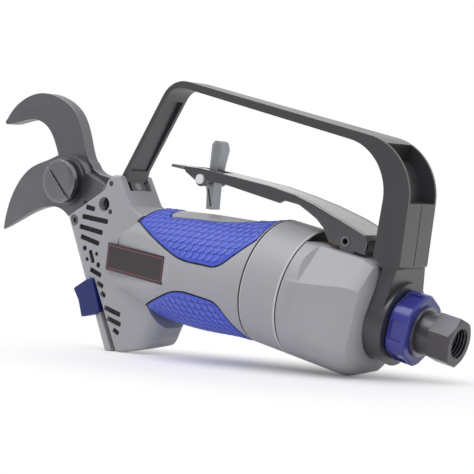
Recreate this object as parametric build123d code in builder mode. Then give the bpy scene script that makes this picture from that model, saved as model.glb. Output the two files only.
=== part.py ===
# Pneumatic pruning shears: a hooked counter blade, a swinging cutting blade and an air cylinder in the grip.
# Every piece is drawn in the tool's own axes: x = 0 where the grip casting ends and the rear body begins,
# +X runs along the cylinder to the air inlet, z = 0 is the cylinder's axis, and -Y is the side with the
# bolt head and the vents. At the end all pieces are laid in the pose in which the tool rests on a table.
import os
from math import asin, cos, degrees, hypot, radians, sin, sqrt, tan

from build123d import *

os.makedirs("parts", exist_ok=True)

# Fits and gaps
run_clearance = 0.05  # radial, turning and sliding fits
seat_clearance = 0.05  # radial, pieces pushed together
layer_gap = 0.2  # between flat faces that slide past each other
cover_gap = 0.4  # between moving plates and the walls beside them
edge_break = 0.4  # chamfer on turned edges

# Resting pose: the tool stands on the foot and on the rear edge of the cap's lower flat
rest_tilt = 13.3  # degrees, nose up
rim_flat = 0.226  # depth of the flat that the edge stands on

# Rear body: middle ring and rear cap
body_radius = 29.0
ring_length = 20.8
ring_wall = 5.0
gasket_thickness = 0.6
gasket_inset = 0.5
spigot_radius = body_radius - ring_wall
spigot_length = 9.0
cap_bevel_x = 50.4
cap_shoulder_x = 55.5
cap_end_x = 58.5
cap_bevel_inset = 2.2
cap_end_inset = 7.0
cap_top_flat = 24.5
cap_bottom_flat = 27.6
cap_flat_start = 28.5
cap_flat_ramp = 2.5
# Flats of the cap: direction in degrees above +Y, distance from the axis at the front and at the rear,
# start and length of the run-out
cap_flats = (
    (90.0, cap_top_flat, cap_top_flat, ring_length, 0.0),
    (37.8, 27.27, 27.27, cap_flat_start, cap_flat_ramp),
    (142.2, 27.27, 27.27, cap_flat_start, cap_flat_ramp),
    (0.0, 27.8, 24.8, cap_flat_start, cap_flat_ramp),
    (180.0, 27.8, 24.8, cap_flat_start, cap_flat_ramp),
    (270.0, cap_bottom_flat, cap_bottom_flat, cap_flat_start, cap_flat_ramp),
)

# Air cylinder, piston and rod
liner_bore = 17.0
liner_wall = 2.0
liner_front = -35.0
piston_length = 12.0
piston_rest_x = 4.0
seal_width = 4.0
seal_depth = 2.4
rod_radius = 5.0
rod_end_radius = 4.0
rod_nut_length = 3.6
rod_nut_radius = 7.5
bush_radius = 9.0
bush_length = 13.0
rod_seal_length = 3.0
rod_passage = 6.0
spring_inner = 10.0
spring_outer = 13.0

# Grip casting: stations of the lofted grip as x, centre height, half width and half height
grip_stations = (
    (0.0, 0.0, body_radius, body_radius),
    (-20.0, -3.7, 27.6, 27.2),
    (-40.0, -6.2, 26.0, 27.3),
    (-62.0, -8.2, 22.5, 26.0),
    (-80.0, -9.5, 16.5, 24.5),
    (-95.0, -10.0, 11.0, 22.0),
)
# Flat flanks between the head and the grip: fold at the head, end on the grip, and half widths there
flank_fold_x = -88.0
flank_end_x = -64.0
flank_fold_half = 12.2
flank_end_half = 19.5
flank_fold_z = (-31.0, 7.0)
flank_end_z = (-25.0, 4.0)
flank_corner = 7.0
pad_depth = 2.0
pad_proud = 0.3
pad_groove = 0.7
pad_bed = 0.05
tongue_half_width = 11.0
tongue_front_x = -62.0
tongue_bend_x = -36.0
tongue_rear_x = -16.0
tongue_corner = 4.0

# Head of the casting
head_half_width = 12.5
head_edge_radius = 1.6
near_wall = 3.5
nose = (-127.1, -2.3)
nose_radius = 5.0
front_round = 7.0
back_round = 9.0
back_line = ((-52.06, -34.0), (-54.5, -43.5))
foot_front_x = -87.5
foot_toe_radius = 2.5
foot_rear_x = -66.0
foot_heel_radius = 10.0
lug_corner_radius = 3.0
front_wall = 3.0
front_opening_z = -20.0
vent_height = 2.6
vent_corner = 0.7
groove_width = 3.5
groove_depth = 8.0
groove_wall = 1.6

# Blades and their pivot
pivot_x = -136.0
pivot_z = 15.0
blade_thickness = 5.0
blade_tip_thickness = 1.6
blade_taper_start = -150.0
hook_thickness = 6.5
hook_shank_top = 22.6
hook_shank_bottom = 8.6
pivot_radius = 5.0
blade_hub_radius = 13.5
hook_hub_radius = 14.8
bolt_head_radius = 11.1
bolt_head_height = 3.4
bolt_rim_height = 1.0
bolt_rim_width = 2.4
bolt_collar_radius = 8.5
bolt_collar_height = 2.4
washer_radius = 12.2
washer_thickness = 2.0
bolt_slot_width = 1.6
bolt_slot_depth = 1.6
bolt_slot_turn = -36.0
nut_across_flats = 16.0
nut_length = 6.0
blade_travel = 57.0  # degrees
blade_edge = (
    (-146.2, 26.7),
    (-154.2, 22.0),
    (-166.3, 15.3),
    (-173.4, 7.5),
    (-179.1, -5.3),
    (-180.4, -21.6),
)
blade_back = ((-180.4, -21.6), (-164.6, -10.6), (-149.5, -1.9), (-140.5, 0.3), (-131.5, -2.2))
blade_heel = (-124.0, 0.5)
blade_shoulder = (-126.7, 22.6)
blade_neck_height = 19.1
hook_outer = (
    (-193.9, 36.3),
    (-186.1, 47.2),
    (-172.2, 54.7),
    (-157.0, 55.0),
    (-144.0, 49.6),
    (-136.0, 39.6),
    (-129.3, 28.4),
    (-119.0, hook_shank_top),
)
hook_throat = ((-124.0, hook_shank_bottom), (-150.0, 18.0), (-151.2, 25.8))
hook_inner = (
    (-151.2, 25.8),
    (-154.8, 31.2),
    (-160.0, 36.8),
    (-168.7, 40.4),
    (-176.3, 39.6),
    (-183.6, 36.9),
    (-193.9, 33.6),
)
hook_tip = (-194.8, 34.8)

# Drive between the rod and the blade's tail
tail_radius = 33.0
tail_angle = 3.0
tail_end_radius = 3.4
tail_pin_radius = 1.6
roller_radius = 2.5
roller_clearance = 0.45
yoke_thickness = 3.2
yoke_wall = 1.8
yoke_room = 0.8
yoke_stroke = 14.9
yoke_block_x = -91.0
yoke_block_length = 6.5
yoke_block_half = 6.0

# Trigger lever, latch and valve
lever_pivot_x = 38.0
lever_pivot_z = 29.0
lever_pin_radius = 2.3
lever_pin_bore = 1.3
lever_pin_proud = 0.3
lever_sheet = 1.6
lever_front_half = 8.0
lever_rear_half = 12.0
lever_end_x = 48.5
lever_tip_x = -72.2
lever_groove_inset = 1.7
lever_groove_width = 0.7
lever_groove_depth = 0.8
lever_top = (
    (lever_tip_x, 38.7),
    (-61.6, 39.9),
    (-50.0, 41.3),
    (-32.0, 41.8),
    (-9.0, 42.3),
    (5.0, 41.6),
    (18.0, 40.0),
    (33.0, 37.2),
    (46.5, 33.9),
)
lever_bottom = (
    (lever_end_x, 31.0),
    (lever_end_x, 25.8),
    (30.0, 26.4),
    (25.5, 31.4),
    (20.6, 34.3),
    (14.8, 36.2),
    (8.9, 37.9),
    (0.2, 37.8),
    (-2.1, 36.1),
    (-34.0, 37.1),
    (-45.0, 36.2),
    (-51.8, 35.1),
    (-59.8, 38.2),
    (lever_tip_x, 37.6),
)
lever_cheek_start = -58.5
lever_widening = (5.0, 30.0)
lever_plan = (
    (lever_tip_x, 2.6),
    (lever_tip_x + 1.8, 4.4),
    (-61.6, 5.4),
    (lever_cheek_start, lever_front_half),
    (lever_widening[0], lever_front_half),
    (lever_widening[1], lever_rear_half),
    (lever_end_x, lever_rear_half),
)
boss_radius = 3.6
boss_half_width = 9.8
latch_pin_x = -48.5
latch_pin_z = 36.4
latch_pin_radius = 1.5
latch_pin_head = 0.8
latch_pin_head_height = 1.2
latch_boss_radius = 3.4
latch_half_width = 3.2
latch_hub_radius = 3.6
latch_top_radius = 1.5
latch_slot = (-57.5, -38.5)
latch_outline = (
    (-46.0, 22.7),
    (-42.6, 23.1),
    (-43.9, 33.0),
    (-44.3, 38.0),
    (-44.1, 42.5),
    (-43.9, 46.0),
    (-43.4, 51.8),
    (-45.2, 55.2),
    (-48.6, 55.2),
    (-49.7, 53.0),
    (-48.6, 42.5),
    (-48.5, 39.8),
    (-48.5, 33.0),
    (-47.4, 30.0),
)
latch_spring_wire = 0.7
valve_x = 26.5
valve_stem_radius = 2.5
valve_bush_radius = 5.0
valve_bush_bottom = 12.0
valve_head_height = 3.0
valve_head_play = 0.4
valve_ring_height = 1.8
valve_seat = 4.0
valve_floor = -8.0
valve_spring_play = 0.6
valve_gap = 0.3

# Hand guard
guard_front_half = 7.9
guard_rear_half = 12.0
guard_plan = (
    (-110.0, guard_front_half),
    (-70.0, guard_front_half),
    (40.0, guard_rear_half),
    (80.0, guard_rear_half),
)
guard_foot_sink = 2.6
guard_foot_length = 7.4
guard_foot_thickness = 1.8
guard_foot_half = 5.0
guard_front_corner = (-77.4, 79.5)
guard_front_inner = (-76.2, 76.1)
guard_rear_corner = (61.4, 74.6)
guard_rear_inner = (50.4, 70.8)
guard_step = ((66.1, 25.1), (64.4, 23.2))
guard_inner_foot = (52.6, 26.4)
guard_corner_radius = 26.0
guard_inner_radius = 23.0
guard_front_radius = 14.0
guard_front_inner_radius = 10.0
guard_ring_start = cap_end_x + layer_gap
guard_ring_length = 8.6
guard_ring_end = guard_ring_start + guard_ring_length
guard_ring_radius = 18.2
guard_flare = ((guard_rear_half, 24.0), (17.2, 6.0))
guard_flare_depth = 6.6
guard_pocket_depth = 6.5
guard_pocket_half = 10.6
guard_pocket_angles = (5.0, 37.0, 70.0)
guard_seam = 0.5
guard_seam_top = 51.0
guard_channel_half = 6.0
guard_channel_depth = 2.2
guard_channel_ends = (0.1, 0.84)

# Exhaust collar and air inlet
collar_start = guard_ring_end + layer_gap
collar_length = 9.5
collar_end = collar_start + collar_length
collar_across_flats = 29.0
collar_corner = 8.0
collar_chamfer = 0.8
collar_window = (6.2, 8.6)
collar_window_corner = 0.8
collar_window_depth = 0.7
journal_radius = 10.0
clip_thickness = 1.0
clip_radius = 11.0
neck_radius = 9.2
neck_length = 7.5
hex_start = collar_end + neck_length
hex_length = 9.9
hex_end = hex_start + hex_length
hex_across_flats = 19.0
hex_turn = 41.0
hex_face_radius = 9.4
hex_bevel_length = 0.9
thread_radius = 6.5
thread_length = 12.0
air_passage = 3.0
inlet_spigot_radius = 8.0
inlet_spigot_length = 10.5
inlet_spigot_start = cap_end_x - inlet_spigot_length

# Depths of the blade layers, measured across the tool
blade_near = -blade_thickness
blade_far = 0.0
hook_near = blade_far + layer_gap
hook_far = hook_near + hook_thickness
yoke_far = blade_near - cover_gap
yoke_near = yoke_far - yoke_thickness
cavity_near = -head_half_width + near_wall
cavity_far = hook_far + seat_clearance
pivot = (pivot_x, pivot_z)


def across(y_far):
    """Side-view plane at y_far: sketch x is tool x, sketch y is tool z, and extruding runs towards -Y."""
    return Plane.XZ.offset(-y_far)


def station(x):
    """Cross-section plane at x: sketch x is tool y, sketch y is tool z, and extruding runs towards +X."""
    return Plane.YZ.offset(x)


# The table's surface seen in the tool's axes
floor_level = (rim_flat - cap_bottom_flat) * cos(radians(rest_tilt)) - cap_bevel_x * sin(radians(rest_tilt))


def floor_z(x):
    """Height of the table under the tool at x."""
    return floor_level / cos(radians(rest_tilt)) + x * tan(radians(rest_tilt))


def around_pivot(radius, angle):
    """Point in the side view at a distance from the blade pivot, angle in degrees above +X."""
    return (pivot_x + radius * cos(radians(angle)), pivot_z + radius * sin(radians(angle)))


# Where the tail's pin stands when the blade is open, half closed and closed
tail_open = around_pivot(tail_radius, tail_angle)
tail_half = around_pivot(tail_radius, tail_angle - blade_travel / 2)
tail_closed = around_pivot(tail_radius, tail_angle - blade_travel)


def grip_form(grow):
    """The lofted grip, larger by grow all round."""
    with BuildPart(mode=Mode.PRIVATE) as form:
        for x, centre, half_width, half_height in grip_stations:
            with BuildSketch(station(x)):
                with BuildLine():
                    for start in (0, 90, 180, 270):
                        EllipticalCenterArc(
                            (0, centre), half_width + grow, half_height + grow, start, arc_size=90
                        )
                make_face()
        loft()
    return form.part


def flank_half(x):
    """Half width of the flat flanks at x."""
    rise = (flank_end_half - flank_fold_half) / (flank_end_x - flank_fold_x)
    return flank_fold_half + rise * (x - flank_fold_x)


# The flanks' planes take off the grip's swelling in front, and a wedge fills it up to them
with BuildPart() as flank_cuts:
    with BuildSketch(Plane.XY):
        with BuildLine():
            Polyline(
                (flank_fold_x, flank_fold_half),
                (tongue_bend_x, flank_half(tongue_bend_x)),
                (tongue_bend_x, 2 * body_radius),
                (flank_fold_x, 2 * body_radius),
                close=True,
            )
        make_face()
        mirror(about=Plane.XZ)
    extrude(amount=2 * body_radius, both=True)
with BuildPart() as flank_wedge:
    for x, half, (low, high) in (
        (flank_fold_x, flank_fold_half, flank_fold_z),
        (flank_end_x, flank_end_half, flank_end_z),
    ):
        with BuildSketch(station(x)):
            with Locations((0, (low + high) / 2)):
                RectangleRounded(2 * half, high - low, flank_corner)
    loft()

grip = grip_form(0) - flank_cuts.part + flank_wedge.part
grip_bed = grip_form(-pad_depth)
grip_skin = grip_form(pad_proud)

# Side outlines of the two grip pads, each a curve on the flank closed far outside the grip
upper_pad_curve = ((-77.5, 8.8), (-38.0, 0.6), (-15.0, 3.2), (-1.5, 19.5))
upper_pad_bends = (40.0, 12.0)
upper_pad_ends = ((-1.5, 50.0), (-48.0, 50.0))
lower_pad_curve = ((-62.0, -29.0), (-37.0, -13.6), (-12.5, -12.6), (-1.5, -26.5))
lower_pad_bends = (30.0, 8.0)
lower_pad_ends = ((-1.5, -50.0), (-41.0, -50.0))


def pad_block(curve, bends, ends, grow):
    """Block across the grip with a pad's side outline, grown by grow."""
    with BuildPart(mode=Mode.PRIVATE) as block:
        with BuildSketch(Plane.XZ):
            with BuildLine():
                FilletPolyline(*curve, radius=bends)
                Polyline(curve[-1], *ends, curve[0])
            make_face()
            if grow:
                offset(amount=grow, kind=Kind.INTERSECTION)
        extrude(amount=2 * body_radius, both=True)
    return block.part


def tongue_block(grow):
    """Block over the bare tongue on top of the grip, grown by grow."""
    half = tongue_half_width + grow
    front = tongue_front_x - grow
    with BuildPart(mode=Mode.PRIVATE) as block:
        with BuildSketch(Plane.XY):
            with Locations(((front + tongue_bend_x) / 2, 0)):
                Rectangle(tongue_bend_x - front, 2 * half)
            fillet(vertices().sort_by(Axis.X)[:2], tongue_corner + grow)
            with Locations((tongue_bend_x, 0)):
                Ellipse(tongue_rear_x + grow - tongue_bend_x, half)
        extrude(amount=2 * body_radius)
    return block.part


upper_outline = (upper_pad_curve, upper_pad_bends, upper_pad_ends)
lower_outline = (lower_pad_curve, lower_pad_bends, lower_pad_ends)
upper_bed = pad_block(*upper_outline, pad_groove) - grip_bed - tongue_block(-pad_groove)
lower_bed = pad_block(*lower_outline, pad_groove) - grip_bed
pad_inside = grip_form(pad_bed - pad_depth)
upper_saddle = (pad_block(*upper_outline, 0) & grip_skin) - tongue_block(0)
lower_saddle = pad_block(*lower_outline, 0) & grip_skin

# Body housing: the cast grip and head in one piece, its lug placed by the blade's tail
lug_front_x = tail_open[0] - 0.3
lug_shoulder = (tail_open[0] + 3.5, 26.7)
slope_top = (tail_open[0] + 7.9, 26.9)
slope_end = (tail_open[0] + 18.0, 14.6)
foot_heel = (foot_rear_x + 5.0, floor_z(foot_rear_x) + 4.0)
foot_toe = (foot_front_x, floor_z(foot_front_x))
head_outline = (
    (lug_front_x, 18.4),
    (lug_front_x + 0.6, 23.0),
    lug_shoulder,
    slope_top,
    slope_end,
    (-72.0, 10.0),
    (-60.0, -20.0),
    *back_line,
    foot_heel,
    (foot_rear_x - 7.0, floor_z(foot_rear_x - 7.0)),
    foot_toe,
    nose,
)
front_slope = (foot_toe[0] - nose[0]) / (nose[1] - foot_toe[1])
front_wall_x = front_wall * hypot(1, front_slope)


def front_x(z):
    """Front edge of the head at height z."""
    return nose[0] + (nose[1] - z) * front_slope


def corner_bars(start, end, radius, inward):
    """Two bars along a straight edge of the head that round its near and far corners when cut away.

    The edge runs from start to end in the side view; inward is 1 if the head lies to the left of it, else -1.
    """
    edge_plane = Plane(
        origin=(start[0], 0, start[1]), x_dir=(0, 1, 0), z_dir=(end[0] - start[0], 0, end[1] - start[1])
    )
    with BuildPart(mode=Mode.PRIVATE) as bars:
        with BuildSketch(edge_plane):
            for side in (1, -1):
                with Locations((side * (head_half_width - (radius - 1) / 2), inward * (radius - 1) / 2)):
                    Rectangle(radius + 1, radius + 1)
            for side in (1, -1):
                with Locations((side * (head_half_width - radius), inward * radius)):
                    Circle(radius, mode=Mode.SUBTRACT)
        extrude(amount=4 * body_radius, both=True)
    return bars.part


front_bars = corner_bars(nose, foot_toe, front_round, 1)
back_bars = corner_bars(*back_line, back_round, -1)

groove_top = (-100.6, -26.4)
groove_bottom = -65.0
groove_slope = 0.728


def groove_x(z):
    """Middle of the groove on the near face at height z."""
    return groove_top[0] + (groove_top[1] - z) * groove_slope


groove_side_x = (groove_width / 2 + groove_wall) * hypot(1, groove_slope)
cavity_rear_x = yoke_block_x + yoke_block_length + 1.0
cavity_front_x = pivot_x - 9.0
cavity_top = hook_shank_top + layer_gap
yoke_half = roller_radius + roller_clearance + yoke_wall
slot_mid = (tail_half[0] + yoke_stroke / 2, tail_half[1])
slot_low = (tail_closed[0] + yoke_stroke, tail_closed[1])
lug_wall_x = tail_open[0] + yoke_half + yoke_room
bow_wall_x = slot_mid[0] + yoke_half + yoke_room
shank_end_x = lug_wall_x - 0.3
cavity_outline = (
    (cavity_front_x, cavity_top),
    (cavity_front_x, -8.0),
    (front_x(-8.0) + front_wall_x, -8.0),
    (front_x(-24.0) + front_wall_x, -24.0),
    (groove_x(-25.0) + groove_side_x, -25.0),
    (groove_x(-49.5) + groove_side_x, -49.5),
    (-73.0, -49.0),
    (-73.0, -36.0),
    (cavity_rear_x, -30.0),
    (cavity_rear_x, 7.6),
    (bow_wall_x, 9.0),
    (lug_wall_x, tail_open[1]),
    (lug_wall_x, cavity_top),
)
# Opening of the front wall, for the layers of the blade's tail and of the yoke
front_opening = (
    (cavity_front_x, 0.0),
    (cavity_front_x, front_opening_z),
    (front_x(front_opening_z) + front_wall_x, front_opening_z),
    (front_x(0.0) + front_wall_x, 0.0),
)
# Vents on the near face, from end to end
vents = (
    ((-113.4, 7.1), (-107.0, 7.3)),
    ((-114.8, 1.9), (-97.0, 3.4)),
    ((-115.3, -3.4), (-99.2, -2.8)),
    ((-113.4, -8.1), (-100.1, -8.7)),
    ((-105.4, -13.2), (-101.8, -18.9)),
    ((-103.1, -22.4), (-95.0, -23.7)),
    ((-97.0, -27.6), (-92.4, -28.7)),
    ((-93.3, -31.6), (-89.9, -33.1)),
    ((-89.3, -38.2), (-78.1, -38.9)),
    ((-86.1, -42.8), (-76.6, -43.5)),
    ((-81.0, -47.0), (-76.8, -48.2)),
)
# Thin black sheet against the near wall, which closes the vents from inside
vent_sheet_thickness = 0.2
vent_sheet_outline = (
    (-118.5, 9.2),
    (-105.6, 9.2),
    (-104.2, 6.4),
    (-94.6, 6.4),
    (-94.6, -22.0),
    (-74.0, -34.0),
    (-74.0, -48.8),
    (-118.5, -48.8),
)
small_holes = ((-99.6, 22.2), (-96.9, 8.6), (-109.2, -13.2), (-98.3, -19.0))
small_hole_radius = 1.4
fine_holes = ((-100.7, -13.9), (-106.3, -18.1))
fine_hole_radius = 1.1
sight_hole = (-101.7, 11.3)
sight_hole_radius = 3.6

# Short screw sunk in the nose of the near cheek
nose_screw_place = (-119.7, -1.3)
nose_head_radius = 2.8
nose_head_height = 1.8
nose_shank_radius = 1.5
nose_socket_radius = 1.5
nose_socket_depth = 1.0
nose_sink = 0.8

# Screws that hold the hook's shank, put in from the far side
hook_screw_places = ((shank_end_x - 2.1, 19.6), (shank_end_x - 4.2, 12.6))
hook_screw_radius = 1.4
hook_head_radius = 2.4
hook_head_height = 3.0
hook_screw_end = hook_near + 0.6

# Stop pad: the block clipped into the front of the head
stop_pad_outline = (
    (-99.3, -25.9),
    (-103.1, -27.6),
    (-110.7, -34.4),
    (-105.9, -39.3),
    (-103.2, -44.3),
    (-101.9, -46.9),
    (-92.4, -42.5),
    (-90.9, -40.0),
)
stop_pad_corner = 1.0
stop_pad_near = -14.0
stop_pad_depth = 6.0
stop_pad_gap = 0.1

# Slope behind the lug, with the pocket for the guard's front foot
slope_length = hypot(slope_end[0] - slope_top[0], slope_end[1] - slope_top[1])
slope_along = ((slope_end[0] - slope_top[0]) / slope_length, (slope_end[1] - slope_top[1]) / slope_length)
slope_out = (-slope_along[1], slope_along[0])


def on_slope(along, out):
    """Point in the side view: along the slope from its top and out from its surface."""
    return (
        slope_top[0] + along * slope_along[0] + out * slope_out[0],
        slope_top[1] + along * slope_along[1] + out * slope_out[1],
    )


guard_screw_at = 5.0
guard_screw_radius = 1.3
guard_screw_grip = 3.0
guard_screw_head_radius = 2.1
guard_screw_head_height = 1.0
guard_screw_spot = on_slope(guard_screw_at, -guard_foot_sink)
guard_screw_plane = Plane(
    origin=(guard_screw_spot[0], 0, guard_screw_spot[1]),
    x_dir=(0, 1, 0),
    z_dir=(slope_out[0], 0, slope_out[1]),
)

with BuildPart() as body_housing:
    with BuildSketch(across(head_half_width)):
        with BuildLine():
            Polyline(*head_outline, close=True)
        make_face()
        fillet(vertices().sort_by_distance(foot_heel)[0], foot_heel_radius)
        fillet(vertices().sort_by_distance(foot_toe)[0], foot_toe_radius)
        fillet(vertices().sort_by_distance(nose)[0], nose_radius)
        fillet(vertices().sort_by_distance(lug_shoulder)[0], lug_corner_radius)
    extrude(amount=2 * head_half_width)
    fillet(faces().filter_by(Axis.Y).edges(), head_edge_radius)
    # Rounded front and back of the head
    add(front_bars, mode=Mode.SUBTRACT)
    add(back_bars, mode=Mode.SUBTRACT)
    add(grip)
    # Rear spigot that the middle ring slides over
    with BuildSketch(station(0)):
        Circle(spigot_radius)
    extrude(amount=spigot_length)
    # Hollow of the head, open at the top front for the blades
    with BuildSketch(across(cavity_far)):
        with BuildLine():
            Polyline(*cavity_outline, close=True)
        make_face()
    extrude(amount=cavity_far - cavity_near, mode=Mode.SUBTRACT)
    with BuildSketch(across(hook_near)):
        with BuildLine():
            Polyline(*front_opening, close=True)
        make_face()
    extrude(amount=hook_near - cavity_near, mode=Mode.SUBTRACT)
    # Bores for the cylinder liner, the rod's bush and the rod
    with BuildSketch(station(liner_front)):
        Circle(liner_bore + liner_wall + seat_clearance)
    extrude(amount=spigot_length - liner_front, mode=Mode.SUBTRACT)
    with BuildSketch(station(liner_front - rod_seal_length - bush_length)):
        Circle(bush_radius + seat_clearance)
    extrude(amount=rod_seal_length + bush_length, mode=Mode.SUBTRACT)
    with BuildSketch(station(cavity_rear_x - 1)):
        Circle(rod_passage)
    extrude(amount=liner_front - cavity_rear_x, mode=Mode.SUBTRACT)
    # Vents, holes and the groove on the near face
    with BuildSketch(across(cavity_near + 0.5)):
        for (x1, z1), (x2, z2) in vents:
            reach = hypot(x2 - x1, z2 - z1)
            turn = degrees(asin((z2 - z1) / reach))
            with Locations(((x1 + x2) / 2, (z1 + z2) / 2)):
                RectangleRounded(reach, vent_height, vent_corner, rotation=turn)
        with Locations(*small_holes):
            Circle(small_hole_radius)
        with Locations(*fine_holes):
            Circle(fine_hole_radius)
        with Locations(sight_hole):
            Circle(sight_hole_radius)
    extrude(amount=near_wall + 2, mode=Mode.SUBTRACT)
    with BuildSketch(across(groove_depth - head_half_width)):
        with BuildLine():
            Polyline(
                (groove_top[0] - groove_width / 2, groove_top[1]),
                (groove_top[0] + groove_width / 2, groove_top[1]),
                (groove_x(groove_bottom) + groove_width / 2, groove_bottom),
                (groove_x(groove_bottom) - groove_width / 2, groove_bottom),
                close=True,
            )
        make_face()
    extrude(amount=groove_depth + 1, mode=Mode.SUBTRACT)
    # Seats of the stop pad, the nose screw and the hook's screws
    with BuildSketch(across(stop_pad_near + stop_pad_depth + stop_pad_gap)):
        with BuildLine():
            Polyline(*stop_pad_outline, close=True)
        make_face()
        offset(amount=stop_pad_gap, kind=Kind.INTERSECTION)
    extrude(amount=stop_pad_depth, mode=Mode.SUBTRACT)
    with BuildSketch(across(cavity_near)):
        with Locations(nose_screw_place):
            Circle(nose_shank_radius + seat_clearance)
    extrude(amount=near_wall, mode=Mode.SUBTRACT)
    with BuildSketch(across(nose_sink + nose_head_height - head_half_width)):
        with Locations(nose_screw_place):
            Circle(nose_head_radius + seat_clearance)
    extrude(amount=nose_sink + nose_head_height, mode=Mode.SUBTRACT)
    with BuildSketch(across(head_half_width)):
        with Locations(*hook_screw_places):
            Circle(hook_screw_radius + seat_clearance)
    extrude(amount=head_half_width - cavity_far + 1, mode=Mode.SUBTRACT)
    with BuildSketch(across(head_half_width)):
        with Locations(*hook_screw_places):
            Circle(hook_head_radius + seat_clearance)
    extrude(amount=hook_head_height, mode=Mode.SUBTRACT)
    # Pocket and screw hole for the guard's front foot
    with BuildSketch(across(guard_front_half + seat_clearance)):
        with BuildLine():
            Polyline(
                on_slope(-4, -guard_foot_sink),
                on_slope(guard_foot_length + cover_gap, -guard_foot_sink),
                on_slope(guard_foot_length + cover_gap, 6),
                on_slope(-4, 6),
                close=True,
            )
        make_face()
    extrude(amount=2 * (guard_front_half + seat_clearance), mode=Mode.SUBTRACT)
    with BuildSketch(guard_screw_plane):
        Circle(guard_screw_radius + seat_clearance)
    extrude(amount=-guard_screw_grip - layer_gap, mode=Mode.SUBTRACT)
    # Beds of the two grip pads
    add(upper_bed, mode=Mode.SUBTRACT)
    add(lower_bed, mode=Mode.SUBTRACT)

# Upper grip pad: a saddle over the grip with the tongue's window
with BuildPart() as grip_pad_top:
    add(upper_saddle)
    add(pad_inside, mode=Mode.SUBTRACT)

# Lower grip pad: a saddle under the grip, behind the foot
with BuildPart() as grip_pad_bottom:
    add(lower_saddle)
    add(pad_inside, mode=Mode.SUBTRACT)

# Sheet behind the vents
with BuildPart() as vent_sheet:
    with BuildSketch(across(cavity_near + vent_sheet_thickness)):
        with BuildLine():
            Polyline(*vent_sheet_outline, close=True)
        make_face()
        with BuildLine():
            Polyline(*cavity_outline, close=True)
        make_face(mode=Mode.INTERSECT)
        with Locations(nose_screw_place):
            Circle(nose_shank_radius + cover_gap, mode=Mode.SUBTRACT)
    extrude(amount=vent_sheet_thickness)

# Gaskets at the two seams
with BuildPart() as front_gasket:
    with BuildSketch(station(0)):
        Circle(body_radius - gasket_inset)
        Circle(spigot_radius + seat_clearance, mode=Mode.SUBTRACT)
    extrude(amount=gasket_thickness)

with BuildPart() as rear_gasket:
    with BuildSketch(station(ring_length - gasket_thickness)):
        Circle(body_radius - gasket_inset)
        Circle(spigot_radius + seat_clearance, mode=Mode.SUBTRACT)
    extrude(amount=gasket_thickness)

# Middle ring, a sleeve over the spigots of the casting and the cap
with BuildPart() as middle_ring:
    with BuildSketch(station(gasket_thickness)):
        Circle(body_radius)
        Circle(spigot_radius + seat_clearance, mode=Mode.SUBTRACT)
    extrude(amount=ring_length - 2 * gasket_thickness)
    chamfer(edges().filter_by(GeomType.CIRCLE).sort_by(SortBy.RADIUS)[-2:], edge_break)

# Rear cap with spanner flats, the lever's boss, the valve's bore and the inlet's seat
liner_radius = liner_bore + liner_wall
liner_rear = ring_length - 0.3
with BuildPart() as rear_cap:
    with BuildSketch(Plane.XZ):
        with BuildLine():
            Polyline(
                (ring_length - spigot_length, 0),
                (ring_length - spigot_length, spigot_radius),
                (ring_length, spigot_radius),
                (ring_length, body_radius - edge_break),
                (ring_length + edge_break, body_radius),
                (cap_bevel_x, body_radius),
                (cap_shoulder_x, body_radius - cap_bevel_inset),
                (cap_end_x, body_radius - cap_end_inset),
                (cap_end_x, 0),
                close=True,
            )
        make_face()
    revolve(axis=Axis.X)
    # Flats all round, each with its own two bevels, and the edge that the cap rests on
    for angle, distance, rear_distance, start, ramp in cap_flats:
        slope = ramp / (body_radius - distance)
        with BuildSketch(
            Plane(
                origin=(0, 0, 0),
                x_dir=(1, 0, 0),
                z_dir=(0, -sin(radians(angle)), cos(radians(angle))),
            )
        ):
            with BuildLine():
                Polyline(
                    (start - slope * (2 * body_radius - distance), 2 * body_radius),
                    (start, distance),
                    (cap_bevel_x, rear_distance),
                    (cap_shoulder_x, rear_distance - cap_bevel_inset),
                    (cap_end_x, rear_distance - cap_end_inset),
                    (cap_end_x + 1, rear_distance - cap_end_inset),
                    (cap_end_x + 1, 2 * body_radius),
                    close=True,
                )
            make_face()
        extrude(amount=body_radius, both=True, mode=Mode.SUBTRACT)
    with BuildSketch(across(body_radius)):
        with BuildLine():
            Polyline(
                (ring_length, floor_z(ring_length)),
                (cap_end_x + 1, floor_z(cap_end_x + 1)),
                (cap_end_x + 1, -2 * body_radius),
                (ring_length, -2 * body_radius),
                close=True,
            )
        make_face()
    extrude(amount=2 * body_radius, mode=Mode.SUBTRACT)
    # Boss for the lever's pin
    with BuildSketch(across(boss_half_width)):
        with Locations((lever_pivot_x, lever_pivot_z)):
            Circle(boss_radius)
        with Locations((lever_pivot_x, (lever_pivot_z + cap_top_flat - 2) / 2)):
            Rectangle(2 * boss_radius, lever_pivot_z - cap_top_flat + 2)
    extrude(amount=2 * boss_half_width)
    with BuildSketch(across(boss_half_width)):
        with Locations((lever_pivot_x, lever_pivot_z)):
            Circle(lever_pin_radius + seat_clearance)
    extrude(amount=2 * boss_half_width, mode=Mode.SUBTRACT)
    # Room for the liner and the piston's nut, the air passage and the inlet's seat
    with BuildSketch(station(ring_length - spigot_length)):
        Circle(liner_radius + seat_clearance)
    extrude(amount=spigot_length, mode=Mode.SUBTRACT)
    with BuildSketch(station(ring_length)):
        Circle(air_passage)
    extrude(amount=cap_end_x - ring_length, mode=Mode.SUBTRACT)
    with BuildSketch(station(inlet_spigot_start)):
        Circle(inlet_spigot_radius + seat_clearance)
    extrude(amount=cap_end_x - inlet_spigot_start, mode=Mode.SUBTRACT)
    # Bore of the valve
    with BuildSketch(Plane.XY.offset(valve_floor)):
        with Locations((valve_x, 0)):
            Circle(valve_bush_radius + seat_clearance)
    extrude(amount=cap_top_flat - valve_floor, mode=Mode.SUBTRACT)

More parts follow.
